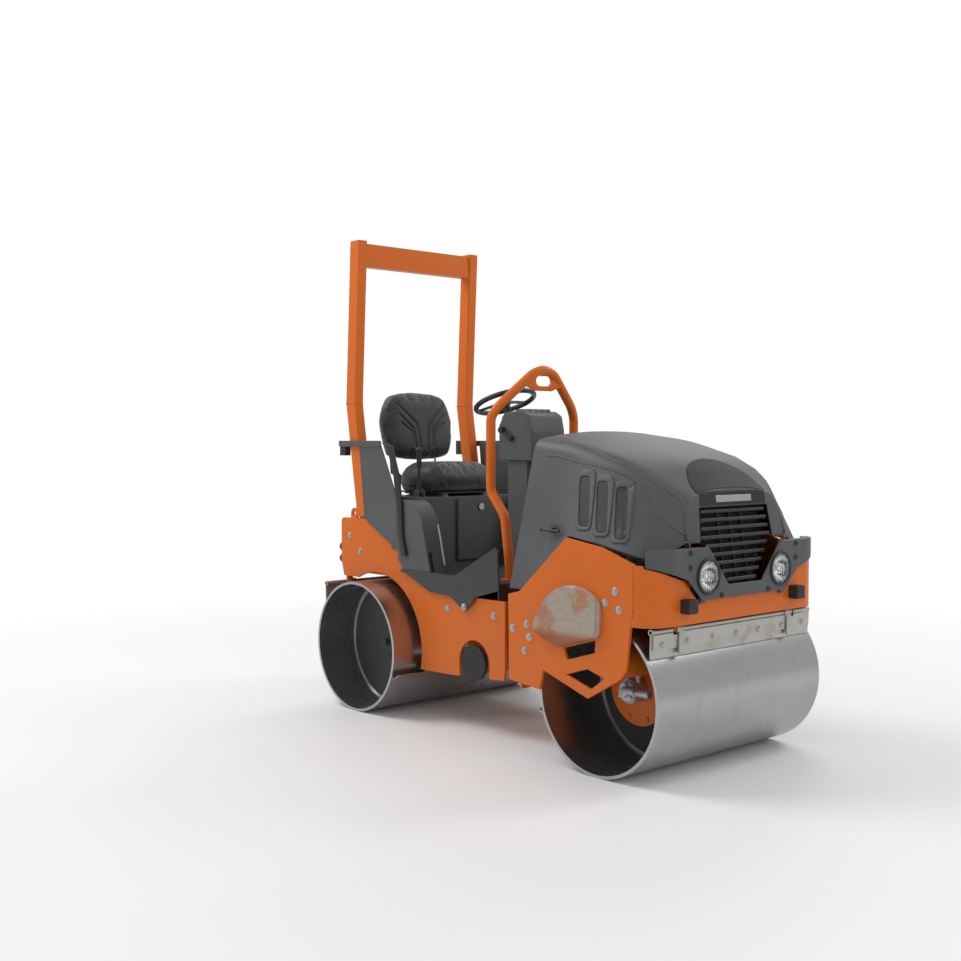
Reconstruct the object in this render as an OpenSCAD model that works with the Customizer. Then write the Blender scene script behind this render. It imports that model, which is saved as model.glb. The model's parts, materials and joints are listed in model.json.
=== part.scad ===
// Tandem roller with two smooth drums, a jointed frame and an open operator place.
// Millimetres. +X forward, +Y to the machine's left, +Z up.
// The origin lies on the ground, midway between the two drum axes and on the steering pivot.

/* [Machine] */
// Overall length over the front bumpers and the rear buffers
machine_l = 2620; // [2600:5:2700]
// Distance between the two drum axes
wheelbase = 1840; // [1820:2:1860]
// Height of the top of the roll bar
rops_top = 2650; // [2450:10:2750]
// Running clearance between a shaft and its bore, on the radius
run_gap = 0.05; // [0.02:0.01:0.09]
// Gap between neighbours that don't touch
air_gap = 4; // [2:0.5:6]

/* [Drums] */
// Outer diameter of a drum
drum_d = 720; // [700:2:730]
// Side clearance between a drum and the front side plates
drum_gap = 6; // [4:0.5:12]
// Wall of a drum shell
drum_t = 14; // [8:1:18]
// Depth of the recess at the open end
free_recess = 250; // [200:5:300]
// Depth of the recess at the driven end
driven_recess = 410; // [380:5:430]
// Thickness of a drum head
head_t = 12; // [8:1:20]
// Outer diameter of the tube that houses the exciter
hub_d = 220; // [210:2:260]
// Bore of the exciter housing
hub_bore = 180; // [160:2:190]

/* [Drum drive] */
// Diameter of the drive motor housing
motor_d = 240; // [225:2:260]
// Diameter of the motor's tail that shows at the drum end
motor_tail_d = 110; // [90:2:130]
// Length of the motor's tail outside its plate
motor_tail_l = 70; // [50:1:90]
// Diameter of the plate that carries the motor
carrier_d = 340; // [320:2:380]
// Thickness of the plates that carry a drum
carrier_t = 16; // [12:1:20]
// Diameter of the tube that reaches into the drum
arm_tube_d = 150; // [130:2:160]
// Diameter of the exciter shaft
exciter_d = 56; // [40:1:70]

/* [Front frame] */
// Overall width, from the motor cover on the right to the hub cover on the left
machine_w = 1312; // [1300:2:1330]
// Depth of the motor cover outside the front side plates
cover_t = 34; // [30:1:38]
// Thickness of the frame plates
plate_t = 16; // [10:1:18]
// Distance from the pivot to the rear edge of the front side plates
front_plate_x = 364; // [360:1:380]
// Height of the lowest point of the front side plates
front_plate_z = 348; // [340:1:360]
// Height of the front side plates
front_plate_h = 719; // [700:1:725]
// Distance from the front drum axis to the nose face
nose_over = 338; // [330:1:350]
// Radius of the nose corners in plan
nose_r = 120; // [100:1:130]
// Height of the lower edge of the nose
nose_z = 702; // [690:1:710]
// Height of the engine deck
deck_z = 778; // [770:1:785]

/* [Hood] */
// Height of the hood's highest point
hood_top = 1554; // [1530:2:1600]
// Inset of the hood's lower rear edge from the front side plates
hood_in = 10; // [6:1:20]
// Length of the hood
hood_l = 924; // [916:1:930]
// Wall of the hood
hood_t = 5; // [3:0.5:8]

/* [Headlights] */
// Diameter of a headlamp over its bezel
lamp_d = 164; // [140:1:170]
// Half distance between the headlamps
lamp_y = 268; // [255:1:275]
// Height of the headlamps
lamp_z = 909; // [900:1:915]

/* [Rear frame] */
// Half width over the rear side plates
rear_half = 444; // [436:1:448]
// Height of the lower edge of the rear side plates
rear_plate_z = 264; // [250:1:280]
// Height of the rear side plates over that edge
rear_plate_h = 800; // [790:1:806]
// Reach of the rear side plates in front of the pivot
rear_reach = 150; // [140:1:155]
// Overhang of the rear side plates behind the drum axis
rear_over = 346; // [340:1:350]
// Radius of the arch over the drum
arch_r = 402; // [395:1:410]

/* [Roll bar] */
// Half width over the roll bar posts
rops_half = 450; // [446:1:460]
// Depth of a post along the machine
post_l = 85; // [70:1:95]
// Width of a post across the machine
post_w = 60; // [50:1:70]
// Height of the cross tube
rops_bar_h = 130; // [100:2:150]
// Wall of the roll bar tubes
post_t = 6; // [4:0.5:8]

/* [Handle] */
// Diameter of the handle's tube
hoop_d = 50; // [40:1:56]
// Height of the handle's top
hoop_top = 1910; // [1880:2:1960]
// Half distance between the handle's legs
hoop_half = 308; // [290:1:320]

/* [Operator place] */
// Height of the platform floor
floor_z = 785; // [780:1:790]
// Front face of the seat console, behind the pivot
console_x = 650; // [640:1:660]
// Height of the seat console
console_top = 1190; // [1180:1:1195]
// Width of the seat cushion
seat_w = 545; // [490:5:550]
// Depth of the seat cushion
seat_l = 352; // [330:2:360]
// Height of the seat cushion
seat_h = 166; // [140:2:176]
// Height of the backrest
back_h = 430; // [400:5:440]
// Thickness of the backrest
back_t = 112; // [95:1:116]
// Diameter of the steering wheel
wheel_d = 356; // [330:2:380]
// Tilt of the steering wheel from level
wheel_tilt = 21; // [19:1:28]

/* [Hidden] */

$fn = 48;
fine_fn = 128;
orange = [0.81, 0.36, 0.12];
dark_grey = [0.27, 0.28, 0.29];
black = [0.09, 0.09, 0.10];
steel = [0.62, 0.63, 0.65];
zinc = [0.75, 0.75, 0.72];

// Small overrun of a cut past the face that it leaves
cut = 2;
// Gap of a soft or carried piece to what carries it
seat_gap = 0.3;

// Places that several pieces share
front_x = wheelbase / 2;
rear_x = -wheelbase / 2;
drum_z = drum_d / 2;
drum_r = drum_d / 2;
half_l = machine_l / 2;
nose_x = front_x + nose_over;
front_half = machine_w / 2 - cover_t;
front_in = front_half - plate_t;
drum_end = front_in - drum_gap;
hood_half = front_half - hood_in;
rear_in = rear_half - plate_t;

// Drum
motor_gap = 2;
motor_l = 108;
spigot_l = 11;
cap_r = 70;
cap_t = 18;
plug_r = 18;
plug_l = 26;
exciter_gap = 8;
bearing_w = 30;
weight_r = 78;
weight_l = 300;
weight_cut = 12;
port_r = 14;
port_l = 46;
port_x = 30;
driven_face = drum_end - driven_recess;
carrier_in = driven_face + motor_gap + motor_l;
carrier_out = carrier_in + carrier_t;

// Carrier of a drum: the tube stands above and in front of the axis
tube_x = 90;
tube_up = 165;
tube_t = 12;
lobe_r = 92;
bolt_circle_r = 142;
bolt_head_r = 13;
bolt_head_h = 9;

// Arm that carries the rear drum from the left
arm_top = 860;
arm_l = 220;
arm_beam_h = 84;
arm_low_r = 110;

// Front side plates, as shares of their length and height
right_plate_shares = [[0, 0.595], [0.010, 0.028], [0.275, 0], [0.305, 0.131], [0.663, 0.008],
  [0.910, 0.163], [0.954, 0.225], [0.990, 0.549], [1, 0.552], [1, 0.872], [0.768, 0.957],
  [0.490, 1], [0.099, 0.622]];
left_plate_shares = [[0, 0.595], [0.010, 0.028], [0.215, 0], [0.235, 0.200], [0.330, 0.400],
  [0.480, 0.560], [1, 0.560], [1, 0.872], [0.768, 0.957], [0.490, 1], [0.099, 0.622]];
window_shares = [[0.494, 0.134], [0.663, 0.193], [0.793, 0.153], [0.688, 0.070]];
slot_shares = [[0.472, 0.299], [0.722, 0.378], [0.718, 0.302], [0.501, 0.229]];
nose_lap = 16;
front_plate_l = nose_x - nose_r + nose_lap - front_plate_x;
bulkhead_x = 430;
bulkhead_z = 330;
nose_side_h = 268;
tongue_r = 75;
tongue_x = 112;
spindle_r = 50;
spindle_z = 490;
nut_r = 72;
nut_t = 22;
gusset_h = 160;
hinge_x = 1235;
hinge_z = 1045;
hinge_y = 352;
hinge_r = 15;
hinge_pin_r = 8;
hinge_t = 8;
ear_t = 6;
strap_y = 400;
strap_in = 222;
strap_w = 36;
strap_t = 10;

// Centre joint
ear_z_low = 365;
ear_z_high = 595;
ear_h = 20;
ear_half_w = 70;
trunnion_r = 30;
link_half = 55;
link_gap = 0.5;
cross_x = 166;
cross_window_y = 52;
cross_window_w = 102;
cross_window_h = 96;
cylinder_y = 102;
cylinder_r = 28;
cylinder_l = 300;
cylinder_back = 470;
rod_r = 15;
rod_back = 360;
rod_eye_r = 30;
rod_eye_t = 24;
arm_pin_y = 110;
arm_pin_r = 12;
rod_eye_gap = 9;

// Rear side plates, as shares of their length and height
rear_plate_shares = [[0.011, 0.993], [0, 0.972], [0, 0.678], [0.018, 0.571], [0.170, 0.571],
  [0.440, 0], [0.700, 0.012], [0.995, 0.045], [1, 0.115], [1, 0.545], [0.588, 0.545],
  [0.455, 0.738], [0.405, 0.779], [0.155, 1]];
rear_step_share = 0.588;
rear_plate_l = rear_reach - rear_x + rear_over;
side_hole_x = -85;
side_hole_z = 360;
side_hole_r = 117;
rear_deck_z = 748;
rear_deck_t = 12;
eye_x = -1140;
eye_z = 1089;
eye_r = 30;
eye_hole_r = 14;
support_z = 676;

// Roll bar line: foot, knee and top
post_x = [-1060, -1163, -1117];
post_z = [1082, 1720, rops_top];
foot_t = 12;
pad_rim = 2;
pad_l = post_l + 2 * pad_rim;
pad_z = post_z[0] - foot_t - plate_t;
foot_lap = 22;
bar_drop = 15;
bar_l = 66;

// Handle
hoop_x = [40, 0, -108, -108, -88, -34];
hoop_z_shares = [0.440, 0.586, 0.650, 0.855, 0.886, 0.974];
hoop_in_shares = [1, 1, 1, 1, 0.86, 0.25];
bend_l = 32;
hoop_foot_r = 46;
hoop_foot_t = 12;
hoop_apex_x = -28;
eye_plate_t = 14;
eye_plate_half = 138;
eye_plate_h = 115;
eye_side_drop = 112;
oval_w = 116;
oval_h = 54;
oval_drop = 88;

// Platform, as shares of the platform's length and of its skirt height
platform_l = 800;
platform_t = 12;
floor_half = 462;
skirt_t = 10;
skirt_z = 623;
skirt_h = 346;
skirt_top_share = 0.520;
skirt_shares = [[0, 0.468], [0.050, 0.468], [0.310, 0.222], [0.528, 0.194], [0.599, 0.104], [0.668, 0],
  [0.746, 0.139], [0.776, 0.234], [1, 0.373], [1, 0.483], [0.990, 0.945], [0.963, 1], [0.575,
  skirt_top_share],
  [0, skirt_top_share]];
platform_short = 30;
tip_shares = [0.668, 0.065];

// Seat console
console_l = 360;
console_half = 340;
console_t = 6;
door_y = -80;
door_w = 330;
door_z = 830;
door_h = 345;
door_t = 10;
door_off = 2.5;
door_lip = 20;
door_pin_r = 3;
barrel_r = 5.5;
barrel_l = 60;
barrel_in = 46;
lock_y = 90;
lock_z = 1128;
lock_r = 12;
lock_head_r = 19;
lock_head_t = 9;
rail_y = 150;
rail_w = 34;
rail_h = 16;
rail_l = 330;
lever_x = -709;
lever_y = -306;
lever_z = 1222;
lever_hub_r = 18;
lever_pin_r = 8;
lever_rod_r = 8;
lever_l = 230;
lever_knob_r = 19;
lever_ear_t = 8;

// Side panels, as shares of their length and height
panel_x = -1068;
panel_l = 446;
panel_z = 854;
panel_h = 640;
panel_pin_z = 921;
fender_x = -700;
fender_l = 280;
fender_h = 395;
fender_slot_z = 905;
fender_shares = [[0, 0.170], [0, 1], [0.322, 1], [0.500, 0.944], [0.719, 0.754], [0.828, 0.476],
  [0.950, 0.147], [1, 0.008], [0.957, 0], [0.214, 0]];
panel_shares = [[0.115, 0.326], [0.008, 1], [0.455, 0.990], [0.558, 0.852], [0.803, 0.510], [0.901, 0.126],
  [1, 0.003], [0.840, 0.055]];
bar_x = -1252;
bar_len = 400;
bar_low = 22;
bar_z = panel_z + panel_h - bar_low;
bar_h = 34;
bar_t = 9;
light_l = 52;
light_w = 40;
light_h = 86;

// Dash, as shares of its length and height
dash_x = -250;
dash_l = 255;
dash_z = 1400;
dash_h = 262;
dash_half = 122;
dash_t = 5;
dash_shares = [[0, 0], [0, 0.718], [0.165, 0.973], [0.380, 1], [0.750, 1], [0.930, 0.900], [1, 0.610],
  [1, 0]];
stand_l = 150;
stand_half = 105;
panel_w = 200;
panel_len = 70;
board_t = 8;
control_y = [-72, 36, 76];
control_r = 12;
stop_head_r = 20;
stop_head_h = 14;
stop_travel = 6;
key_w = 26;
key_h = 24;
wheel_x = -334;
wheel_z = 1719;
column_r = 22;
column_l = 250;
column_bore = 10;
rim_r = 14;
hub_r = 32;
hub_h = 34;
spoke_w = 22;
spoke_t = 9;
stub_l = 60;

// Water tank
tank_x = -1228;
tank_l = 208;
tank_half = 336;
tank_z = rear_deck_z + rear_deck_t + seat_gap;
tank_h = 394;
neck_r = 38;
neck_h = 20;
water_cap_r = 52;
water_cap_h = 30;

// Scrapers
blade_t = 6;
blade_gap = 0.6;
blade_angle = 35;
blade_half = 585;
bar_top = 684;
scraper_x = 300;
holder_t = 9;
holder_drop = 78;
pivot_r = 8;
sleeve_r = 14;
low_angle = 22;
low_pivot_x = 450;
low_pivot_z = 300;
low_half = 412;
wide_share = 0.33;

// Hood sections: place along the hood, lower half width, upper half width, lower edge, crease, crown
hood_x = 352;
hood_low = 795;
hood_x_shares = [0, 0.095, 0.268, 0.432, 0.603, 0.756, 0.866, 0.938, 1];
hood_low_w_shares = [0.988, 0.990, 0.992, 0.993, 0.990, 0.978, 0.950, 0.885, 0.610];
hood_top_w_shares = [0.768, 0.766, 0.762, 0.752, 0.734, 0.694, 0.632, 0.572, 0.515];
hood_low_z_shares = [0.008, 0.008, 0.193, 0.367, 0.336, 0.300, 0.272, 0.245, 0.340];
hood_crease_z_shares = [0.950, 0.949, 0.927, 0.888, 0.833, 0.760, 0.695, 0.652, 0.612];
hood_crown_z_shares = [1, 0.998, 0.975, 0.938, 0.886, 0.822, 0.760, 0.710, 0.655];
hood_lean_shares = [0.06, 0.05, 0.03, 0, 0, -0.02, -0.07, -0.12, -0.15];
hood_round = 60;
vent_w = 66;
vent_h = 196;
vent_x = [775, 880, 985];
vent_z = [1150, 1128, 1104];
vent_lean = 8;
vent_reach = 150;
mouth_z = 1036;
mouth_top = 1207;
mouth_half = 268;
mouth_half_top = 250;
latch_x = 632;
latch_z = 1092;
latch_in = 37;
latch_y = hood_half - latch_in;
latch_r = 12;
boss_r = 32;
boss_l = 36;
handle_l = 118;
handle_t = 13;
latch_off = 28;

// Grille
grille_z = 874;
grille_h = 322;
grille_x = 1262;
grille_lean = 52;
grille_n = 9;
slat_t = 15;
slat_l = 34;
grille_w_low = 108;
grille_w_mid = 255;
grille_w_top = 236;
grille_mid_share = 0.62;

// Headlight panel
face_x = 1283;
face_t = 8;
face_corner = 152;
face_flat = front_half - face_corner;
face_low = 806;
face_high = 1038;
face_half_low = 310;
face_half_knee = 405;
face_knee_z = 900;
face_in = 18;
face_half = front_half - face_in;
face_side_z = 962;
face_v_top = 276;
face_v_low = 122;
face_v_z = 864;
face_turn = 62;
face_flange = 42;
face_flange_y = 292;
lamp_depth = 70;
lamp_proud = 8;
lens_r = 64;
lens_bulge = 14;

// Engine bay
engine_x = 650;
engine_l = 290;
engine_w = 320;
engine_z = deck_z + tube_t + seat_gap;
engine_h = 460;
head_h = 60;
head_in = 40;
sump_w = 220;
fan_x = 1030;
fan_r = 178;
fan_z = 1040;
fan_hub_r = 36;
fan_hub_l = 40;
fan_shaft_r = 12;
fan_seat_r = 30;
fan_seat_l = 50;
fan_blades = 7;
blade_chord = 74;
fan_blade_t = 5;
fan_pitch = 28;
radiator_x = 1110;
radiator_l = 48;
radiator_half = 232;
radiator_z = 800;
radiator_h = 420;
pump_r = 72;
pump_l = 120;
pump_z = 950;
filter_r = 68;
filter_l = 270;
filter_x = 560;
filter_y = -330;
filter_z = 1360;
silencer_r = 78;
silencer_l = 330;
silencer_x = 600;
silencer_y = -400;
silencer_z = 900;
pipe_r = 22;
battery_x = 470;
battery_l = 150;
battery_w = 220;
battery_h = 170;
battery_y = 200;
fuel_x = 650;
fuel_l = 330;
fuel_y = 300;
fuel_in = 66;
fuel_w = front_in - fuel_in - fuel_y;
fuel_h = 250;

// Cover on the right side plate, as shares of its length and height
cover_l = 413;
cover_h = 289;
cover_x = 560;
cover_z = 568;
cover_rim = 5;
cover_shares = [[0, 0.270], [0.06, 0.52], [0.18, 0.74], [0.34, 0.90], [0.50, 0.985], [0.62, 1], [0.78,
  0.96],
  [0.92, 0.87], [0.99, 0.77], [1, 0.60], [0.985, 0.30], [0.96, 0.225], [0.42, 0], [0.02, 0.176]];

// Bumpers and buffers
bumper_y = 400;
bumper_z = 787;
bumper_w = 62;
buffer_r = 26;
buffer_y = 400;
buffer_z = 816;
buffer_step = 68;
side_buffer_r = 92;

module y_cyl(r, y0, y1, x = 0, z = 0) {
  translate([x, y1, z]) rotate([90, 0, 0]) cylinder(r = r, h = y1 - y0);
}
module x_cyl(r, x0, x1, y = 0, z = 0) {
  translate([x0, y, z]) rotate([0, 90, 0]) cylinder(r = r, h = x1 - x0);
}
module z_cyl(r, z0, z1, x = 0, y = 0) {
  translate([x, y, z0]) cylinder(r = r, h = z1 - z0);
}
module block(x0, x1, y0, y1, z0, z1) {
  translate([x0, y0, z0]) cube([x1 - x0, y1 - y0, z1 - z0]);
}
// A plate whose outline lies in the side view, from y0 to y1
module side_plate(points, y0, y1) {
  translate([0, y1, 0]) rotate([90, 0, 0]) linear_extrude(y1 - y0) polygon(points);
}
// A plate whose outline lies in the front view, from x0 to x1
module face_plate(points, x0, x1) {
  translate([x0, 0, 0]) rotate([90, 0, 90]) linear_extrude(x1 - x0) polygon(points);
}
function spread(shares, x0, z0, l, h) = [for (s = shares) [x0 + s[0] * l, z0 + s[1] * h]];
// Draws its children on both sides of the machine
module both_sides() {
  children();
  mirror([0, 1, 0]) children();
}
// A point list with each inner corner rounded over the given length
function rounded(path, r) = concat([path[0]], [for (i = [1 : len(path) - 2]) let (q = path[i],
  a = q + (path[i - 1] - q) / norm(path[i - 1] - q) * r, b = q + (path[i + 1] - q)
  / norm(path[i + 1] - q) * r)
  for (t = [0 : 0.25 : 1]) (1 - t) * (1 - t) * a + 2 * t * (1 - t) * q + t * t * b], [path[len(path) - 1]]);
// A round bar along a path that never runs along the X axis
module swept_bar(path, r) {
  n = $fn;
  m = len(path);
  points = [for (i = [0 : m - 1]) let (d = path[min(i + 1, m - 1)] - path[max(i - 1, 0)], t = d / norm(d),
    c = cross(t, [1, 0, 0]), u = c / norm(c), v = cross(t, u))
    for (k = [0 : n - 1]) path[i] + r * (cos(360 * k / n) * u + sin(360 * k / n) * v)];
  wall = [for (i = [0 : m - 2]) for (k = [0 : n - 1]) for (f = [0, 1]) let (a = i * n + k,
    b = i * n + (k + 1) % n)
    f == 0 ? [a, a + n, b + n] : [a, b + n, b]];
  polyhedron(points, concat([[for (k = [0 : n - 1]) k]], wall,
    [[for (k = [n - 1 : -1 : 0]) (m - 1) * n + k]]));
}

// Drum with its shell, two heads and the tube that houses the exciter; the driven end is at -Y
module drum_body() {
  difference() {
    y_cyl(drum_r, -drum_end, drum_end, $fn = fine_fn);
    y_cyl(drum_r - drum_t, -drum_end - cut, drum_end + cut, $fn = fine_fn);
  }
  difference() {
    union() {
      y_cyl(drum_r - drum_t, -driven_face, -driven_face + head_t, $fn = fine_fn);
      y_cyl(drum_r - drum_t, drum_end - free_recess - head_t, drum_end - free_recess, $fn = fine_fn);
      y_cyl(hub_d / 2, -driven_face, drum_end - free_recess);
    }
    y_cyl(hub_bore / 2, -driven_face - cut, drum_end - free_recess - head_t);
  }
  y_cyl(cap_r, drum_end - free_recess, drum_end - free_recess + cap_t);
  y_cyl(plug_r, drum_end - free_recess, drum_end - free_recess + cap_t + plug_l);
}
module exciter_body() {
  y0 = -driven_face + spigot_l + exciter_gap;
  y1 = drum_end - free_recess - head_t - exciter_gap;
  mid = (y0 + y1) / 2;
  y_cyl(exciter_d / 2, y0, y1);
  y_cyl(hub_bore / 2 - run_gap, y0, y0 + bearing_w);
  y_cyl(hub_bore / 2 - run_gap, y1 - bearing_w, y1);
  difference() {
    y_cyl(weight_r, mid - weight_l / 2, mid + weight_l / 2);
    block(-weight_r - cut, weight_r + cut, mid - weight_l / 2 - cut, mid + weight_l / 2 + cut,
      weight_cut, weight_r + cut);
  }
}
module motor_body() {
  y_cyl(hub_bore / 2 - run_gap, -driven_face - motor_gap, -driven_face + spigot_l);
  y_cyl(motor_d / 2, -carrier_in, -driven_face - motor_gap);
  y_cyl(motor_tail_d / 2, -carrier_out - motor_tail_l, -carrier_in);
  for (side = [-1, 1]) translate([side * port_x, -carrier_out - motor_tail_l / 2, 0])
    cylinder(r = port_r, h = motor_tail_d / 2 + port_l / 2);
}
// Round plate that holds the motor, with a lobe for the tube and a ring of bolt heads
module carrier_plate() {
  difference() {
    union() {
      y_cyl(carrier_d / 2, -carrier_out, -carrier_in);
      y_cyl(lobe_r, -carrier_out, -carrier_in, tube_x, tube_up);
    }
    y_cyl(motor_tail_d / 2 + run_gap, -carrier_out - cut, -carrier_in + cut);
  }
  for (turn = [22.5 : 45 : 337.5])
    y_cyl(bolt_head_r, -carrier_out - bolt_head_h, -carrier_out, bolt_circle_r * cos(turn),
    bolt_circle_r * sin(turn), $fn = 6);
}
module carrier_tube(end) {
  difference() {
    y_cyl(arm_tube_d / 2, -end, -carrier_out, tube_x, tube_up);
    y_cyl(arm_tube_d / 2 - tube_t, -end - cut, -carrier_out - tube_t, tube_x, tube_up);
  }
}
module at_drum(side) {
  translate([side * front_x, 0, drum_z]) mirror([side > 0 ? 0 : 1, 0, 0])
    mirror([0, side > 0 ? 0 : 1, 0]) children();
}
module front_drum() { color(steel) at_drum(1) drum_body(); }
module rear_drum() { color(steel) at_drum(-1) drum_body(); }
module front_exciter() { color(zinc) at_drum(1) exciter_body(); }
module rear_exciter() { color(zinc) at_drum(-1) exciter_body(); }
module front_drum_motor() { color(zinc) at_drum(1) motor_body(); }
module rear_drum_motor() { color(zinc) at_drum(-1) motor_body(); }
module front_drum_carrier() {
  color(orange) at_drum(1) {
    carrier_plate();
    carrier_tube(front_in);
  }
}
// The rear drum hangs on an arm that comes over its left end
module rear_drum_carrier() {
  arm_out = front_half;
  arm_in = front_in;
  color(orange) at_drum(-1) {
    carrier_plate();
    carrier_tube(arm_in);
    y_cyl(arm_tube_d / 2 - tube_t, -arm_out - cover_t, -arm_out, tube_x, tube_up);
    difference() {
      union() {
        side_plate([[-arm_l / 2, arm_top - drum_z], [arm_l / 2 + tube_x, arm_top - drum_z],
          [tube_x + arm_low_r, tube_up], [tube_x, tube_up - arm_low_r],
          [tube_x - arm_low_r, tube_up]], -arm_out, -arm_in);
        block(-arm_l / 2, arm_l / 2 + tube_x, -arm_in, -rear_half,
          arm_top - arm_beam_h - drum_z, arm_top - drum_z);
      }
      block(-arm_l / 2 + tube_t, arm_l / 2 + tube_x - tube_t, -arm_in - cut, -rear_half + cut,
        arm_top - arm_beam_h - drum_z + tube_t, arm_top - drum_z - tube_t);
    }
  }
}

// Front frame
module front_side(shares) {
  side_plate(spread(shares, front_plate_x, front_plate_z, front_plate_l, front_plate_h),
    -front_half, -front_in);
}
module nose_shell() {
  low = face_low - air_gap;
  difference() {
    translate([0, 0, nose_z]) linear_extrude(nose_side_h) polygon(nose_outline(0));
    translate([0, 0, nose_z - cut]) linear_extrude(nose_side_h + 2 * cut) polygon(nose_outline(plate_t));
    face_plate([[-face_half_low, low], [face_half_low, low], [face_half_knee, face_knee_z - air_gap],
      [face_half, face_side_z - air_gap], [face_half, face_high], [-face_half, face_high],
      [-face_half, face_side_z - air_gap], [-face_half_knee, face_knee_z - air_gap]],
      nose_x - nose_r + nose_lap + plate_t, nose_x + cut);
  }
}
function quarter(x, y, r, from, to) = [for (i = [0 : 8]) let (a = from + (to - from) * i / 8)
  [x + r * cos(a), y + r * sin(a)]];
function nose_outline(inset) = let (back = nose_x - nose_r + nose_lap, r = nose_r - inset,
  x = nose_x - nose_r, y = front_half - nose_r) concat([[back - nose_lap, -front_half + inset]],
  quarter(x, -y, r, -90, 0), quarter(x, y, r, 0, 90), [[back - nose_lap, front_half - inset]]);
module front_frame() {
  win = spread(window_shares, front_plate_x, front_plate_z, front_plate_l, front_plate_h);
  slot_win = spread(slot_shares, front_plate_x, front_plate_z, front_plate_l, front_plate_h);
  color(orange) {
    difference() {
      union() {
        front_side(right_plate_shares);
        mirror([0, 1, 0]) front_side(left_plate_shares);
        block(bulkhead_x, bulkhead_x + plate_t, -front_in, front_in, bulkhead_z, deck_z);
        block(bulkhead_x, nose_x - plate_t, -front_in, front_in, deck_z, deck_z + tube_t);
      }
      side_plate(win, -front_half - cut, -front_in + cut);
      side_plate(slot_win, -front_half - cut, -front_in + cut);
      block(nose_x - nose_r, nose_x, -front_half - cut, -front_half + nose_r, deck_z - cut,
        deck_z + tube_t + cut);
      block(nose_x - nose_r, nose_x, front_half - nose_r, front_half + cut, deck_z - cut,
        deck_z + tube_t + cut);
      x_cyl(spindle_r + run_gap, bulkhead_x - cut, bulkhead_x + plate_t + cut, 0, spindle_z);
    }
    nose_shell();
    difference() {
      x_cyl(tongue_r, tongue_x, bulkhead_x, 0, spindle_z);
      x_cyl(spindle_r + run_gap, tongue_x - cut, bulkhead_x + cut, 0, spindle_z);
    }
    for (side = [-1, 1]) side_plate([[tongue_x + tongue_r, spindle_z + side * (tongue_r - 2 * cut)],
      [bulkhead_x, spindle_z + side * (tongue_r - 2 * cut)], [bulkhead_x, spindle_z + side * gusset_h]],
      -plate_t / 2, plate_t / 2);
    both_sides() {
      block(hinge_x - hinge_r, hinge_x + hinge_r, -hinge_y - hinge_t, -hinge_y, deck_z + tube_t, hinge_z);
      y_cyl(hinge_r, -hinge_y - hinge_t, -hinge_y, hinge_x, hinge_z);
      y_cyl(hinge_pin_r, -hinge_y - hinge_t - ear_t, -hinge_y - hinge_t, hinge_x, hinge_z);
      scraper_strap(1, front_half - strap_in);
      block(low_pivot_x - strap_t, low_pivot_x + strap_t, -low_half - 3 * strap_t, -low_half - strap_t,
        low_pivot_z, bulkhead_z + 2 * plate_t);
      y_cyl(strap_t, -low_half - 3 * strap_t, -low_half - strap_t, low_pivot_x, low_pivot_z);
      y_cyl(pivot_r, -low_half - strap_t - cut, -low_half + 2 * sleeve_r, low_pivot_x, low_pivot_z);
    }
  }
}
// Strap that hangs from the frame and holds the outer scraper's pivot
module scraper_strap(side, y) {
  x = side * (front_x + scraper_x);
  top = side > 0 ? deck_z : rear_deck_z;
  block(x - strap_t, x + strap_t, -y - strap_w, -y, bar_top, top + cut);
  y_cyl(strap_t, -y - strap_w, -y, x, bar_top);
  y_cyl(pivot_r, -y - 2 * strap_w, -y, x, bar_top);
}
module front_bolts() {
  places = spread([[0.870, 0.697], [0.794, 0.620], [0.897, 0.588], [0.187, 0.331], [0.148, 0.238],
    [0.165, 0.414], [0.042, 0.373]], front_plate_x, front_plate_z, front_plate_l, front_plate_h);
  color(zinc) both_sides() for (p = places)
    y_cyl(bolt_head_r, -front_half - bolt_head_h, -front_half, p[0], p[1], $fn = 6);
}

// Scrapers: the outer one hangs over the drum, the inner one lies low between the drums
module scraper_outer(side) {
  tip = [front_x + (drum_r + blade_gap) * cos(blade_angle), drum_z + (drum_r + blade_gap)
    * sin(blade_angle)];
  top = [front_x + scraper_x, bar_top];
  run = top - tip;
  at = atan2(run[0], run[1]);
  mirror([side > 0 ? 0 : 1, 0, 0]) difference() {
    union() {
      translate([tip[0], 0, tip[1]]) rotate([0, at, 0]) block(0, blade_t, -blade_half, blade_half, 0,
        norm(run) - sleeve_r * 0.75);
      translate([top[0], 0, top[1]]) rotate([0, at, 0]) block(blade_t - cut / 2, blade_t + holder_t,
        -blade_half + holder_t, blade_half - holder_t, -holder_drop, -sleeve_r * 0.75);
      y_cyl(sleeve_r, -blade_half + cut, blade_half - cut, top[0], top[1]);
    }
    y_cyl(pivot_r + run_gap, -blade_half - cut, blade_half + cut, top[0], top[1]);
    y = side > 0 ? front_half - strap_in : strap_y;
    both_sides() block(top[0] - 2 * strap_w, top[0] + 2 * strap_w, -y - rear_half + strap_y - air_gap,
      -y + air_gap, top[1] - 2 * strap_t, top[1] + 2 * strap_t);
  }
}
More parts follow.
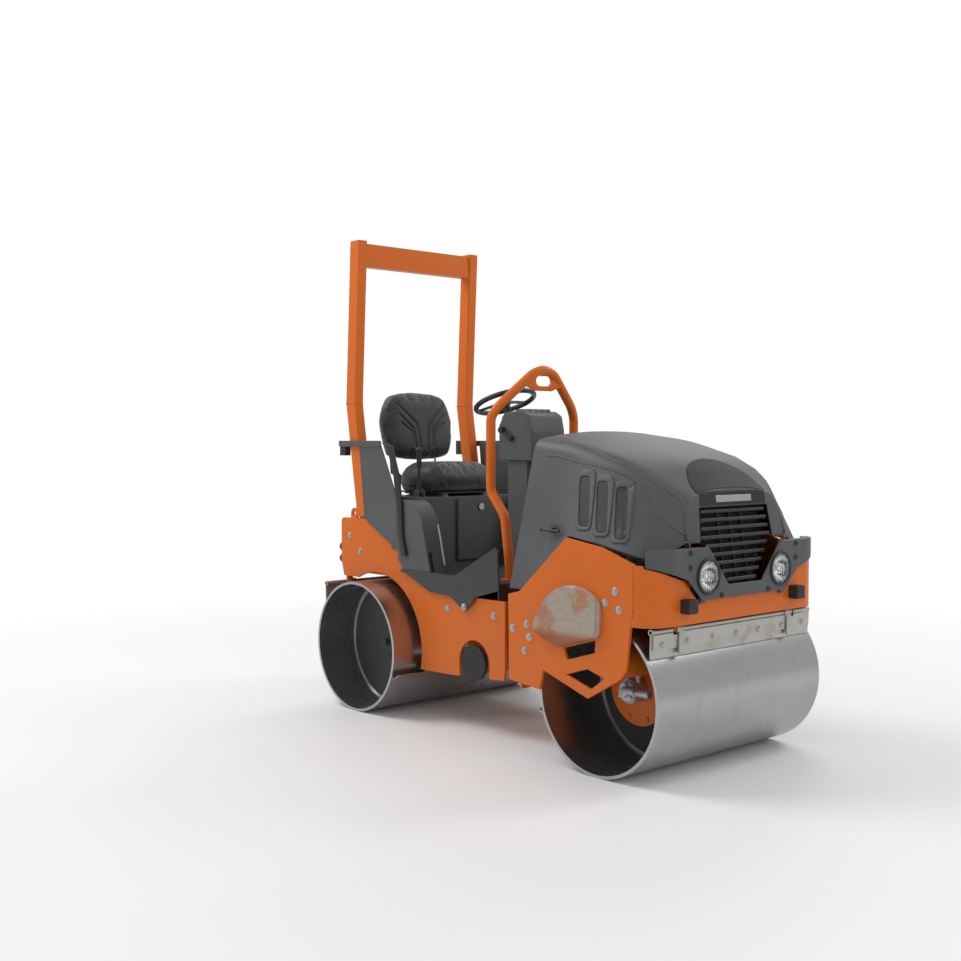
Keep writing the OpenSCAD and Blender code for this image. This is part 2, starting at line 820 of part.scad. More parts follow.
module scraper_inner(side) {
  tip = [front_x - (drum_r + blade_gap) * cos(low_angle), drum_z - (drum_r + blade_gap) * sin(low_angle)];
  top = [low_pivot_x, low_pivot_z];
  run = top - tip;
  at = atan2(run[0], run[1]);
  mirror([side > 0 ? 0 : 1, 0, 0]) difference() {
    union() {
      translate([tip[0], 0, tip[1]]) rotate([0, at, 0])
        block(-blade_t, 0, -blade_half, blade_half, 0, norm(run) * wide_share);
      translate([tip[0], 0, tip[1]]) rotate([0, at, 0])
        block(-blade_t, 0, -low_half + cut, low_half - cut, 0, norm(run) - sleeve_r * 0.75);
      y_cyl(sleeve_r, -low_half, low_half, top[0], top[1]);
    }
    y_cyl(pivot_r + run_gap, -low_half - cut, low_half + cut, top[0], top[1]);
  }
}
module front_scraper_outer() { color(zinc) scraper_outer(1); }
module rear_scraper_outer() { color(zinc) scraper_outer(-1); }
module front_scraper_inner() { color(zinc) scraper_inner(1); }
module rear_scraper_inner() { color(zinc) scraper_inner(-1); }

// Centre joint: a cross whose trunnions steer in the rear frame and whose spindle carries the front
module centre_link() {
  low = ear_z_low;
  high = ear_z_high + ear_h;
  color(zinc) {
    block(-link_half, link_half, -link_half, link_half, low + ear_h + link_gap, ear_z_high - link_gap);
    z_cyl(trunnion_r - run_gap, low, high);
    x_cyl(spindle_r, link_half - cut, bulkhead_x + plate_t + nut_t, 0, spindle_z);
    x_cyl(nut_r, bulkhead_x + plate_t + link_gap, bulkhead_x + plate_t + nut_t, 0, spindle_z, $fn = 6);
    block(-arm_pin_r * 2, arm_pin_r * 2, link_half - cut, arm_pin_y + 2 * arm_pin_r,
      spindle_z - rod_eye_t - plate_t, spindle_z - rod_eye_t);
    z_cyl(arm_pin_r, spindle_z - rod_eye_t - cut, spindle_z + rod_eye_t, 0, arm_pin_y);
  }
}
module steering_cylinder() {
  color(black) difference() {
    union() {
      x_cyl(cylinder_r, -cylinder_back, -cylinder_back + cylinder_l, cylinder_y, spindle_z);
      z_cyl(cylinder_r, spindle_z - cylinder_r, spindle_z + cylinder_r, -cylinder_back, cylinder_y);
    }
    x_cyl(rod_r + run_gap, -cylinder_back + 3 * rod_r, -cylinder_back + cylinder_l + cut, cylinder_y,
      spindle_z);
    z_cyl(arm_pin_r, spindle_z - cylinder_r - cut, spindle_z + cylinder_r + cut, -cylinder_back,
      cylinder_y);
  }
}
module steering_rod() {
  color(steel) difference() {
    union() {
      x_cyl(rod_r, -rod_back, -arm_pin_r - rod_eye_gap - rod_r / 4, cylinder_y, spindle_z);
      z_cyl(rod_eye_r, spindle_z - rod_eye_t / 2, spindle_z + rod_eye_t / 2, 0, cylinder_y);
    }
    z_cyl(arm_pin_r + rod_eye_gap, spindle_z - rod_eye_t, spindle_z + rod_eye_t, 0, cylinder_y);
  }
}

// Rear frame
module rear_side() {
  difference() {
    side_plate(spread(rear_plate_shares, rear_x - rear_over, rear_plate_z, rear_plate_l, rear_plate_h),
      -rear_half, -rear_in);
    y_cyl(arch_r, -rear_half - cut, -rear_in + cut, rear_x, drum_z, $fn = fine_fn);
    y_cyl(side_hole_r, -rear_half - cut, -rear_in + cut, side_hole_x, side_hole_z);
    block(side_hole_x - side_hole_r, side_hole_x + side_hole_r, -rear_half - cut, -rear_in + cut,
      rear_plate_z - cut, side_hole_z);
  }
  difference() {
    union() {
      y_cyl(eye_r, -rear_half, -rear_in, eye_x, eye_z);
      block(eye_x - eye_r, eye_x + eye_r, -rear_half, -rear_in, pad_z, eye_z);
    }
    y_cyl(eye_hole_r, -rear_half - cut, -rear_in + cut, eye_x, eye_z);
  }
}
module rear_frame() {
  back = rear_x - rear_over + plate_t;
  foot = post_x[0];
  color(orange) {
    both_sides() rear_side();
    block(back, back + plate_t, -rear_in, rear_in, rear_deck_z, buffer_z + buffer_step + 2 * buffer_r);
    block(back, rear_x + arch_r - plate_t, -rear_in, rear_in, rear_deck_z, rear_deck_z + rear_deck_t);
    block(rear_x + arch_r + 2 * plate_t, rear_reach, -rear_in, rear_in, support_z, support_z + rear_deck_t);
    difference() {
      block(-cross_x, -cross_x + plate_t, -rear_in, rear_in, rear_plate_z + plate_t, support_z);
      block(-cross_x - cut, -cross_x + plate_t + cut, cross_window_y, cross_window_y + cross_window_w,
        spindle_z - cross_window_h / 2, spindle_z + cross_window_h / 2);
    }
    for (z = [ear_z_low, ear_z_high]) difference() {
      union() {
        block(-cross_x + plate_t, 0, -ear_half_w, ear_half_w, z, z + ear_h);
        z_cyl(ear_half_w, z, z + ear_h);
      }
      z_cyl(trunnion_r, z - cut, z + ear_h + cut);
    }
    block(-cylinder_back - ear_half_w, -cylinder_back + 2 * arm_pin_r, cylinder_y - cylinder_r,
      cylinder_y + cylinder_r, spindle_z + cylinder_r + air_gap, support_z);
    z_cyl(arm_pin_r - run_gap, spindle_z - cylinder_r, spindle_z + cylinder_r + air_gap, -cylinder_back,
      cylinder_y);
    both_sides() {
      block(foot - pad_l / 2, foot + pad_l / 2, -rear_in, -rear_in + post_w + foot_lap, pad_z,
        pad_z + plate_t);
      scraper_strap(-1, strap_y);
      y_cyl(pivot_r, -rear_in - cut, -low_half + 2 * sleeve_r, -low_pivot_x, low_pivot_z);
      block(-cross_x + cut, side_hole_x + side_hole_r / 3, -rear_in, -rear_in + plate_t,
        side_hole_z - side_hole_r / 3, side_hole_z + side_hole_r / 3);
    }
  }
}
module rops_frame() {
  half = rops_half;
  in = rops_half - post_w;
  bar_x = post_x[2] - (post_x[2] - post_x[1]) * (bar_drop + rops_bar_h / 2) / (post_z[2] - post_z[1]);
  color(orange) {
    both_sides() {
      difference() {
        side_plate(post_outline(post_l / 2, 0), -half, -in);
        side_plate(post_outline(post_l / 2 - post_t, post_t), -half + post_t, -in - post_t);
      }
      block(post_x[0] - pad_l / 2, post_x[0] + pad_l / 2, -half, -in + foot_lap, post_z[0] - foot_t,
        post_z[0]);
    }
    difference() {
      block(bar_x - bar_l / 2, bar_x + bar_l / 2, -in, in, rops_top - bar_drop - rops_bar_h,
        rops_top - bar_drop);
      block(bar_x - bar_l / 2 + post_t, bar_x + bar_l / 2 - post_t, -in + post_t, in - post_t,
        rops_top - bar_drop - rops_bar_h + post_t, rops_top - bar_drop - post_t);
    }
  }
}
function post_outline(half, inset) = [[post_x[0] - half, post_z[0] + inset], [post_x[0] + half,
  post_z[0] + inset],
  [post_x[1] + half, post_z[1]], [post_x[2] + half, post_z[2] - inset],
  [post_x[2] - half, post_z[2] - inset], [post_x[1] - half, post_z[1]]];
module rear_bolts() {
  tip = [rear_reach - platform_short - platform_l * (1 - tip_shares[0]), skirt_z + skirt_h * tip_shares[1]];
  color(zinc) both_sides() {
    y_cyl(bolt_head_r, -floor_half - bolt_head_h, -floor_half, tip[0], tip[1], $fn = 6);
    y_cyl(bolt_head_r, -floor_half + skirt_t, -rear_half, tip[0], tip[1]);
  }
  color(zinc) both_sides() for (p = spread([[0.134, 0.761], [0.062, 0.870], [0.683, 0.445], [0.940, 0.445]],
    rear_x - rear_over, rear_plate_z, rear_plate_l, rear_plate_h))
    y_cyl(bolt_head_r, -rear_half - bolt_head_h, -rear_half, p[0], p[1], $fn = 6);
}
module lifting_hoop() {
  z0 = floor_z;
  r = hoop_d / 2;
  up = [for (i = [0 : len(hoop_x) - 1]) [hoop_x[i], -hoop_half * hoop_in_shares[i],
    hoop_top * hoop_z_shares[i]]];
  right = concat([[hoop_x[0], -hoop_half, z0 + hoop_foot_t / 2]], up);
  left = [for (i = [len(right) - 1 : -1 : 0]) [right[i][0], -right[i][1], right[i][2]]];
  color(orange) {
    swept_bar(rounded(concat(right, [[hoop_apex_x, 0, hoop_top - r]], left), bend_l), r, $fn = 20);
    both_sides() z_cyl(hoop_foot_r, z0, z0 + hoop_foot_t, hoop_x[0], -hoop_half);
    difference() {
      face_plate([[-eye_plate_half, hoop_top - eye_side_drop], [-oval_w / 2, hoop_top - r - eye_plate_h],
        [oval_w / 2, hoop_top - r - eye_plate_h], [eye_plate_half, hoop_top - eye_side_drop],
        [oval_w / 2, hoop_top - r], [-oval_w / 2, hoop_top - r]],
        hoop_apex_x - eye_plate_t, hoop_apex_x);
      for (k = [-1, 1]) x_cyl(oval_h / 2, hoop_apex_x - eye_plate_t - cut, hoop_apex_x + cut,
        k * (oval_w - oval_h) / 2, hoop_top - oval_drop);
      block(hoop_apex_x - eye_plate_t - cut, hoop_apex_x + cut, -(oval_w - oval_h) / 2, (oval_w - oval_h)
        / 2,
        hoop_top - oval_drop - oval_h / 2, hoop_top - oval_drop + oval_h / 2);
    }
  }
}

// Operator place
module operator_platform() {
  front = rear_reach - platform_short;
  back = front - platform_l;
  step_x = rear_x - rear_over + rear_plate_l * rear_step_share + cut;
  color(dark_grey) {
    block(step_x, front - tube_t, -floor_half, floor_half, floor_z - platform_t, floor_z);
    block(-console_x + cut, step_x + cut, -rear_in + air_gap, rear_in - air_gap, floor_z - platform_t,
      floor_z);
    both_sides() side_plate(spread(skirt_shares, back, skirt_z, platform_l, skirt_h),
      -floor_half, -floor_half + skirt_t);
    for (x = [rear_x + arch_r + 3 * plate_t, -cross_x, front - 4 * tube_t])
      block(x, x + tube_t, -rear_in + air_gap, rear_in - air_gap, support_z + rear_deck_t,
      floor_z - platform_t + cut);
  }
}
module seat_console() {
  x0 = -console_x - console_l;
  x1 = -console_x;
  base = rear_deck_z + rear_deck_t;
  pin_x = x1 + door_off + door_t;
  pin_y = door_y + door_w + barrel_r + cut / 2;
  color(dark_grey) {
    difference() {
      block(x0, x1, -console_half, console_half, base, console_top);
      block(x0 + console_t, x1 - console_t, -console_half + console_t, console_half - console_t,
        base + console_t, console_top - console_t);
      block(x1 - console_t - cut, x1 + cut, door_y + door_lip, door_y + door_w - door_lip,
        door_z + door_lip,
        door_z + door_h - door_lip);
    }
    for (z = [door_z + barrel_in, door_z + door_h - barrel_in - barrel_l]) {
      z_cyl(door_pin_r, z - door_lip / 2, z + barrel_l + door_lip / 2, pin_x, pin_y);
      for (k = [z - door_lip / 2, z + barrel_l + cut / 2])
        block(x1, pin_x + door_pin_r, pin_y - door_pin_r, pin_y + door_pin_r, k,
        k + door_lip / 2 - cut / 2);
    }
    for (k = [-1, 1]) block(x1 - rail_l, x1 - tube_t, k * rail_y - rail_w / 2, k * rail_y + rail_w / 2,
      console_top, console_top + rail_h);
    for (k = [0, 1]) block(lever_x - lever_hub_r, lever_x + lever_hub_r,
      lever_y - lever_ear_t - lever_hub_r + k * (lever_ear_t + 2 * lever_hub_r),
      lever_y - lever_hub_r + k * (lever_ear_t + 2 * lever_hub_r), console_top, lever_z + lever_hub_r / 2);
    y_cyl(lever_pin_r, lever_y - lever_hub_r, lever_y + lever_hub_r, lever_x, lever_z);
  }
}
module console_door() {
  x1 = -console_x + door_off;
  pin_y = door_y + door_w + barrel_r + cut / 2;
  color(dark_grey) {
    difference() {
      block(x1, x1 + door_t, door_y, door_y + door_w, door_z, door_z + door_h);
      x_cyl(lock_r + run_gap, x1 - cut, x1 + door_t + cut, lock_y, lock_z);
    }
    for (z = [door_z + barrel_in, door_z + door_h - barrel_in - barrel_l]) difference() {
      union() {
        z_cyl(barrel_r, z + cut / 2, z + barrel_l - cut / 2, x1 + door_t, pin_y);
        block(x1 + door_t / 2, x1 + door_t, door_y + door_w - cut, pin_y, z + cut / 2,
          z + barrel_l - cut / 2);
      }
      z_cyl(door_pin_r + run_gap, z, z + barrel_l, x1 + door_t, pin_y);
    }
  }
}
module door_lock() {
  x1 = -console_x + door_off;
  color(steel) {
    x_cyl(lock_r, x1 - door_t / 2, x1 + door_t + cut / 4, lock_y, lock_z);
    difference() {
      x_cyl(lock_head_r, x1 + door_t + cut / 4, x1 + door_t + lock_head_t, lock_y, lock_z);
      block(x1 + door_t + lock_head_t - cut, x1 + door_t + lock_head_t + cut, lock_y - lock_r,
        lock_y + lock_r,
        lock_z - cut / 2, lock_z + cut / 2);
    }
    block(x1 - door_t / 2 - lock_r / 2, x1 - door_t / 2, lock_y - lock_r, lock_y + lock_r, lock_z - lock_r,
      lock_z + 2 * lock_r);
  }
}
module seat_base() {
  x1 = -console_x - rail_w;
  x0 = -back_x - back_arm - sleeve_r;
  z0 = console_top + rail_h + seat_gap;
  ear = bracket_y + bracket_w;
  color(black) {
    block(x0, x1, -rail_y - rail_w, rail_y + rail_w, z0, z0 + plate_t / 2);
    for (k = [-1, 1]) {
      for (m = [-1, 1]) {
        y = k * rail_y + m * (rail_w / 2 + seat_gap + cut / 2);
        block(x1 - rail_l, x1, y - cut / 2, y + cut / 2, z0 - rail_h / 2, z0 + cut);
      }
      block(x0, x0 + 2 * sleeve_r, k * ear - bracket_w / 2, k * ear + bracket_w / 2, z0, back_pivot_z);
      y_cyl(sleeve_r, k * ear - bracket_w / 2, k * ear + bracket_w / 2, -back_x - back_arm, back_pivot_z);
      y_cyl(pivot_r, k * bracket_y - bracket_w, k * bracket_y + bracket_w, -back_x - back_arm,
        back_pivot_z);
    }
  }
}
function seat_z() = console_top + rail_h + seat_gap + plate_t / 2;
row_shares = [-1, -0.94, -0.82, -0.66, -0.52, -0.47, -0.42, -0.28, -0.16, -0.11, -0.06, 0.08, 0.20, 0.25,
  0.30,
  0.46, 0.64, 0.80, 0.93, 1];
groove_rows = [5, 9, 13];
col_shares = [-1, -0.96, -0.86, -0.70, -0.53, -0.36, -0.24, -0.12, 0, 0.12, 0.24, 0.36, 0.53, 0.70, 0.86,
  0.96, 1];
pad_rim_share = 0.34;
pad_corner_share = 0.26;
pad_back_share = 0.955;
pad_groove = 7;
// Height of the pad's face over its back at a place
function pad_height(s, t, deep, j, groove) = deep * (pad_rim_share + (1 - pad_rim_share)
  * pow(1 - pow(abs(s), 6), 0.4) * pow(1 - pow(abs(t), 6), 0.4))
  - (len(search(j, groove_rows)) > 0 ? groove * (1 - pow(abs(s), 6)) : 0);
// A soft pad: a grid over its face, a drawn-in wall and a flat back, in triangles
module pad(wide, long, deep, bend, taper, groove) {
  n = len(col_shares);
  m = len(row_shares);
  face = [for (j = [0 : m - 1]) for (s = col_shares) let (t = row_shares[j])
    [wide / 2 * s * sqrt(1 - pad_corner_share * t * t) * (1 - taper * max(0, t)),
    long / 2 * (t * sqrt(1 - pad_corner_share * s * s) + bend * (1 - t * t) * abs(s)),
    pad_height(s, t, deep, j, groove)]];
  loop = concat([for (i = [0 : n - 1]) i], [for (j = [1 : m - 1]) j * n + n - 1],
    [for (i = [n - 2 : -1 : 0]) (m - 1) * n + i], [for (j = [m - 2 : -1 : 1]) j * n]);
  k = len(loop);
  back = [for (p = loop) [face[p][0] * pad_back_share, face[p][1] * pad_back_share, 0]];
  top = [for (j = [0 : m - 2]) for (i = [0 : n - 2]) for (f = [0, 1]) let (a = j * n + i)
    f == 0 ? [a, a + n, a + n + 1] : [a, a + n + 1, a + 1]];
  wall = [for (i = [0 : k - 1]) for (f = [0, 1]) let (a = loop[i], b = loop[(i + 1) % k], c = n * m + i,
    d = n * m + (i + 1) % k) f == 0 ? [a, b, d] : [a, d, c]];
  base = [for (i = [0 : k - 1]) [n * m + k, n * m + i, n * m + (i + 1) % k]];
  polyhedron(concat(face, back, [[0, 0, 0]]), concat(top, wall, base));
}
module seat_cushion() {
  color(black) translate([-console_x - rail_w / 2 - seat_l / 2, 0, seat_z() + seat_gap]) rotate([0, 0, -90])
    pad(seat_w, seat_l, seat_h, seat_bend, 0, pad_groove);
}
seat_bend = 0.10;
back_x = 1018;
back_pivot_z = 1262;
back_lean = 7;
back_low = 120;
back_arm = 40;
bracket_y = 170;
bracket_w = 8;
module at_back() {
  translate([-back_x - back_arm, 0, back_pivot_z]) rotate([0, -back_lean, 0]) translate([back_arm, 0, 0])
      children();
}
module backrest_bracket() {
  arm_h = back_low + back_h / 2;
  color(steel) at_back() {
    for (k = [-1, 1]) difference() {
      union() {
        side_plate([[-back_arm - sleeve_r, 0], [-back_arm + sleeve_r, 0],
          [-back_arm + sleeve_r, back_low / 3], [-back_t - seat_gap, back_low - 2 * bracket_w],
          [-back_t - seat_gap, arm_h], [-back_t - bracket_w, arm_h], [-back_t - bracket_w, back_low / 2],
          [-back_arm - sleeve_r, back_low / 4]],
          k * bracket_y - bracket_w / 2 + seat_gap, k * bracket_y + bracket_w / 2 - seat_gap);
        y_cyl(sleeve_r, k * bracket_y - bracket_w / 2 + seat_gap, k * bracket_y + bracket_w / 2 - seat_gap,
          -back_arm, 0);
      }
      y_cyl(pivot_r + run_gap, k * bracket_y - bracket_w, k * bracket_y + bracket_w, -back_arm, 0);
    }
    block(-back_t - bracket_w, -back_t - seat_gap, -bracket_y, bracket_y, arm_h - back_low / 2, arm_h);
  }
}
back_bend = 0.16;
back_taper = 0.13;
module seat_backrest() {
  color(black) at_back() translate([-back_t, 0, back_low + back_h / 2]) rotate([90, 0, 90])
    pad(seat_w, back_h, back_t, back_bend, back_taper, 0);
}
module drive_lever() {
  color(black) {
    difference() {
      y_cyl(lever_hub_r, lever_y - lever_hub_r + cut / 2, lever_y + lever_hub_r - cut / 2, lever_x,
        lever_z);
      y_cyl(lever_pin_r + run_gap, lever_y - lever_hub_r, lever_y + lever_hub_r, lever_x, lever_z);
    }
    z_cyl(lever_rod_r, lever_z + lever_hub_r - cut, lever_z + lever_l, lever_x, lever_y);
    translate([lever_x, lever_y, lever_z + lever_l]) sphere(r = lever_knob_r);
    z_cyl(lever_knob_r * 0.7, lever_z + lever_l - 3 * lever_knob_r, lever_z + lever_l, lever_x, lever_y);
  }
}
module side_panels() {
  out = -floor_half;
  color(dark_grey) both_sides() {
    side_plate(spread(panel_shares, panel_x, panel_z, panel_l, panel_h), out, out + skirt_t);
    difference() {
      side_plate(spread(fender_shares, fender_x, floor_z + cut / 4, fender_l, fender_h), out,
        -console_half - air_gap);
      block(fender_x - cut, fender_x + fender_l, -rear_half - air_gap, -rear_in + air_gap,
        floor_z - cut, fender_slot_z);
      block(fender_x - cut, fender_x + fender_l, out - cut, out + skirt_t + seat_gap, floor_z - cut,
        skirt_z + skirt_h * skirt_top_share + seat_gap);
    }
    block(bar_x, bar_x + bar_len, out - bar_t, out, bar_z, bar_z + bar_h);
    y_cyl(sleeve_r, out + skirt_t - cut, -rear_half, fender_x - 4 * sleeve_r, panel_pin_z);
  }
}
module rear_lights() {
  color(black) both_sides() difference() {
    block(bar_x, bar_x + light_l, -floor_half, -floor_half + light_w, bar_z + bar_h - light_h,
      bar_z + bar_h);
    x_cyl(light_w / 3, bar_x - cut, bar_x + cut, -floor_half + light_w / 2, bar_z);
  }
}
module water_tank() {
  color(dark_grey) {
    difference() {
      block(tank_x, tank_x + tank_l, -tank_half, tank_half, tank_z, tank_z + tank_h);
      block(tank_x + console_t, tank_x + tank_l - console_t, -tank_half + console_t, tank_half - console_t,
        tank_z + console_t, tank_z + tank_h - console_t);
      z_cyl(neck_r - console_t, tank_z + tank_h - 2 * console_t, tank_z + tank_h + cut,
        tank_x + tank_l / 2, 0);
    }
    difference() {
      z_cyl(neck_r, tank_z + tank_h, tank_z + tank_h + neck_h, tank_x + tank_l / 2, 0);
      z_cyl(neck_r - console_t, tank_z + tank_h - cut, tank_z + tank_h + neck_h + cut,
        tank_x + tank_l / 2, 0);
    }
  }
}
module water_cap() {
  top = tank_z + tank_h;
  color(black) difference() {
    z_cyl(water_cap_r, top + seat_gap, top + water_cap_h, tank_x + tank_l / 2, 0, $fn = fine_fn);
    z_cyl(neck_r + run_gap, top - cut, top + neck_h + seat_gap, tank_x + tank_l / 2, 0);
    for (a = [0 : 45 : 315]) z_cyl(water_cap_r / 7, top, top + water_cap_h + cut,
      tank_x + tank_l / 2 + water_cap_r * cos(a), water_cap_r * sin(a));
  }
}

// Dash with its column and controls
function dash_points(in) = spread(dash_shares, dash_x, dash_z, dash_l, dash_h);
module at_column() {
  translate([wheel_x, 0, wheel_z]) rotate([0, -wheel_tilt, 0]) children();
}
// Places children on the sloping board that faces the operator, with +Z out of the board
module at_board(y, up) {
  a = dash_points(0)[1];
  b = dash_points(0)[2];
  slope = atan2(b[1] - a[1], b[0] - a[0]);
  translate([a[0], y, a[1]]) rotate([0, -slope, 0]) translate([up, 0, 0]) children();
}
module dash_console() {
  inner = [for (p = dash_points(0)) [dash_x + dash_l / 2 + (p[0] - dash_x - dash_l / 2)
    * (1 - 2 * dash_t / dash_l),
    dash_z + dash_h / 2 + (p[1] - dash_z - dash_h / 2) * (1 - 2 * dash_t / dash_h)]];
  color(dark_grey) difference() {
    union() {
      side_plate(dash_points(0), -dash_half, dash_half);
      block(dash_x + dash_l / 2 - stand_l / 2, dash_x + dash_l / 2 + stand_l / 2, -stand_half,
        stand_half, floor_z, dash_z);
    }
    side_plate(inner, -dash_half + dash_t, dash_half - dash_t);
    block(dash_x + dash_l / 2 - stand_l / 2 + dash_t, dash_x + dash_l / 2 + stand_l / 2 - dash_t,
      -stand_half + dash_t, stand_half - dash_t, floor_z + dash_t, dash_z + 2 * dash_t);
    at_column() translate([0, 0, -column_l]) cylinder(r = column_r + run_gap, h = column_l);
    y_cyl(pivot_r, -dash_half - cut, -dash_half + 2 * dash_t, throttle_x, throttle_z);
    for (y = control_y) at_board(y, panel_len / 2) translate([0, 0, -4 * dash_t])
      cylinder(r = control_r + dash_t, h = 4 * dash_t + cut);
  }
}
module instrument_panel() {
  color(black) difference() {
    at_board(0, 0) translate([0, -panel_w / 2, 0]) cube([panel_len, panel_w, board_t]);
    for (y = control_y) at_board(y, panel_len / 2) translate([0, 0, -cut])
      cylinder(r = control_r + run_gap, h = board_t + 2 * cut);
    at_board(-control_r, panel_len / 2) translate([0, 0, board_t - cut / 2]) cylinder(r = 2 * control_r,
      h = cut);
    at_column() translate([0, 0, -column_l]) cylinder(r = column_r + cut / 2, h = column_l);
  }
}
module emergency_stop() {
  color([0.75, 0.08, 0.06]) at_board(control_y[0], panel_len / 2) {
    translate([0, 0, -cut]) cylinder(r = control_r, h = board_t + stop_travel + 2 * cut);
    translate([0, 0, board_t + stop_travel + cut]) cylinder(r = stop_head_r, h = stop_head_h);
  }
}
module vibration_switch() {
  color(black) at_board(control_y[1], panel_len / 2) {
    cylinder(r = control_r, h = board_t + cut);
    translate([-control_r, -control_r / 2, board_t + cut / 2]) cube([2 * control_r, control_r, control_r]);
  }
}
module ignition_key() {
  color(steel) at_board(control_y[2], panel_len / 2) {
    cylinder(r = control_r, h = board_t + cut);
    translate([-key_w / 2, -cut / 2, board_t + cut / 2]) cube([key_w, cut, key_h]);
  }
}
throttle_x = -150;
throttle_z = 1520;
throttle_r = 16;
throttle_l = 78;
throttle_off = 18;
throttle_tilt = 56;
module throttle_lever() {
  y1 = -dash_half - seat_gap;
  color(black) {
    y_cyl(throttle_r, y1 - throttle_off, y1, throttle_x, throttle_z);
    y_cyl(pivot_r - run_gap, y1 - cut, -dash_half + dash_t + cut, throttle_x, throttle_z);
    y0 = y1 - throttle_off;
    translate([throttle_x, 0, throttle_z]) rotate([0, -throttle_tilt, 0]) {
      block(-pivot_r, pivot_r, y0, y0 + pivot_r, 0, throttle_l);
      y_cyl(throttle_r, y0 - pivot_r, y0 + throttle_r, 0, throttle_l);
    }
  }
}
module steering_column() {
  color(black) at_column() difference() {
    translate([0, 0, -column_l]) cylinder(r = column_r, h = column_l - hub_h / 2 - seat_gap);
    translate([0, 0, -stub_l - hub_h]) cylinder(r = column_bore, h = column_l);
  }
}
module steering_wheel() {
  color(black) at_column() {
    rotate_extrude($fn = fine_fn) translate([wheel_d / 2 - rim_r, 0]) circle(r = rim_r, $fn = 24);
    translate([0, 0, -hub_h / 2]) cylinder(r = hub_r, h = hub_h);
    translate([0, 0, -stub_l - hub_h / 2]) cylinder(r = column_bore - run_gap, h = stub_l + hub_h / 2);
    for (a = [90, 210, 330]) rotate([0, 0, a]) translate([hub_r / 2, -spoke_w / 2, -spoke_t / 2])
      cube([wheel_d / 2 - rim_r - hub_r / 2, spoke_w, spoke_t]);
  }
}

// Hood: rings across the machine, lofted from the rear to the front
function hood_ring(k, in) = let (
  w = (hood_half * hood_low_w_shares[k]) - in,
  v = (hood_half * hood_top_w_shares[k]) - in,
  h = hood_top - hood_low,
  zb = hood_low + h * hood_low_z_shares[k],
  zc = hood_low + h * hood_crease_z_shares[k] - in,
  zt = hood_low + h * hood_crown_z_shares[k] - in,
  r = hood_round,
  side = [(w - v) / (zc - zb), 1] / norm([(w - v) / (zc - zb), 1]),
  a = [v + side[0] * r, zc - side[1] * r],
  b = [v - r, zc + (zt - zc) * r / v],
  right = concat([[w, zb], [(2 * w + a[0]) / 3, (2 * zb + a[1]) / 3], [(w + 2 * a[0]) / 3,
  (zb + 2 * a[1]) / 3]],
  [for (i = [0 : 4]) let (t = i / 4) (1 - t) * (1 - t) * a + 2 * t * (1 - t) * [v, zc] + t * t * b],
  [for (i = [1 : 4]) let (y = b[0] * (1 - i / 4)) [y, zt - (zt - b[1]) * pow(y / b[0], 2)]]))
  concat([for (p = right) [-p[0], p[1]]], [for (i = [len(right) - 2 : -1 : 0]) right[i]]);
function hood_points(in) = [for (k = [0 : len(hood_x_shares) - 1]) let (
  place = hood_x + hood_l * hood_x_shares[k],
  x = k == 0 ? place + in : k == len(hood_x_shares) - 1 ? place - in : place)
  for (p = hood_ring(k, in)) [x + hood_lean_shares[k] * (p[1] - hood_low), p[0], p[1]]];
// The shell has an outer and an inner skin, two end walls and a rim along its lower edge
module hood_shell() {
  out = hood_points(0);
  in = hood_points(hood_t);
  m = len(hood_x_shares);
  n = len(out) / m;
  last = (m - 1) * n;
  s = len(out);
  skins = [for (j = [0 : m - 2]) for (i = [0 : n - 2]) let (a = j * n + i, b = a + 1)
    each [[a, b, b + n], [a, b + n, a + n], [s + a, s + b + n, s + b], [s + a, s + a + n, s + b + n]]];
  rims = [for (j = [0 : m - 2]) let (a = j * n, b = j * n + n - 1)
    each [[a, a + n, s + a + n], [a, s + a + n, s + a], [b, s + b + n, b + n], [b, s + b, s + b + n]]];
  mids = [for (p = [out[0], out[last], in[0], in[last]]) [p[0], 0, p[2]]];
  ends = [for (e = [0, 1, 2, 3]) let (c = 2 * s + e, j = (e == 1 || e == 3 ? last : 0) + (e > 1 ? s : 0))
    for (i = [j : j + n - 2]) e == 0 || e == 3 ? [c, i + 1, i] : [c, i, i + 1]];
  feet = [for (e = [0, 1]) let (c = 2 * s + e, d = c + 2, a = e * last, b = a + n - 1)
    each e == 0 ? [[a, s + a, d], [a, d, c], [c, d, s + b], [c, s + b, b]]
    : [[a, d, s + a], [a, c, d], [c, s + b, d], [c, b, s + b]]];
  polyhedron(concat(out, in, mids), concat(skins, rims, ends, feet));
}
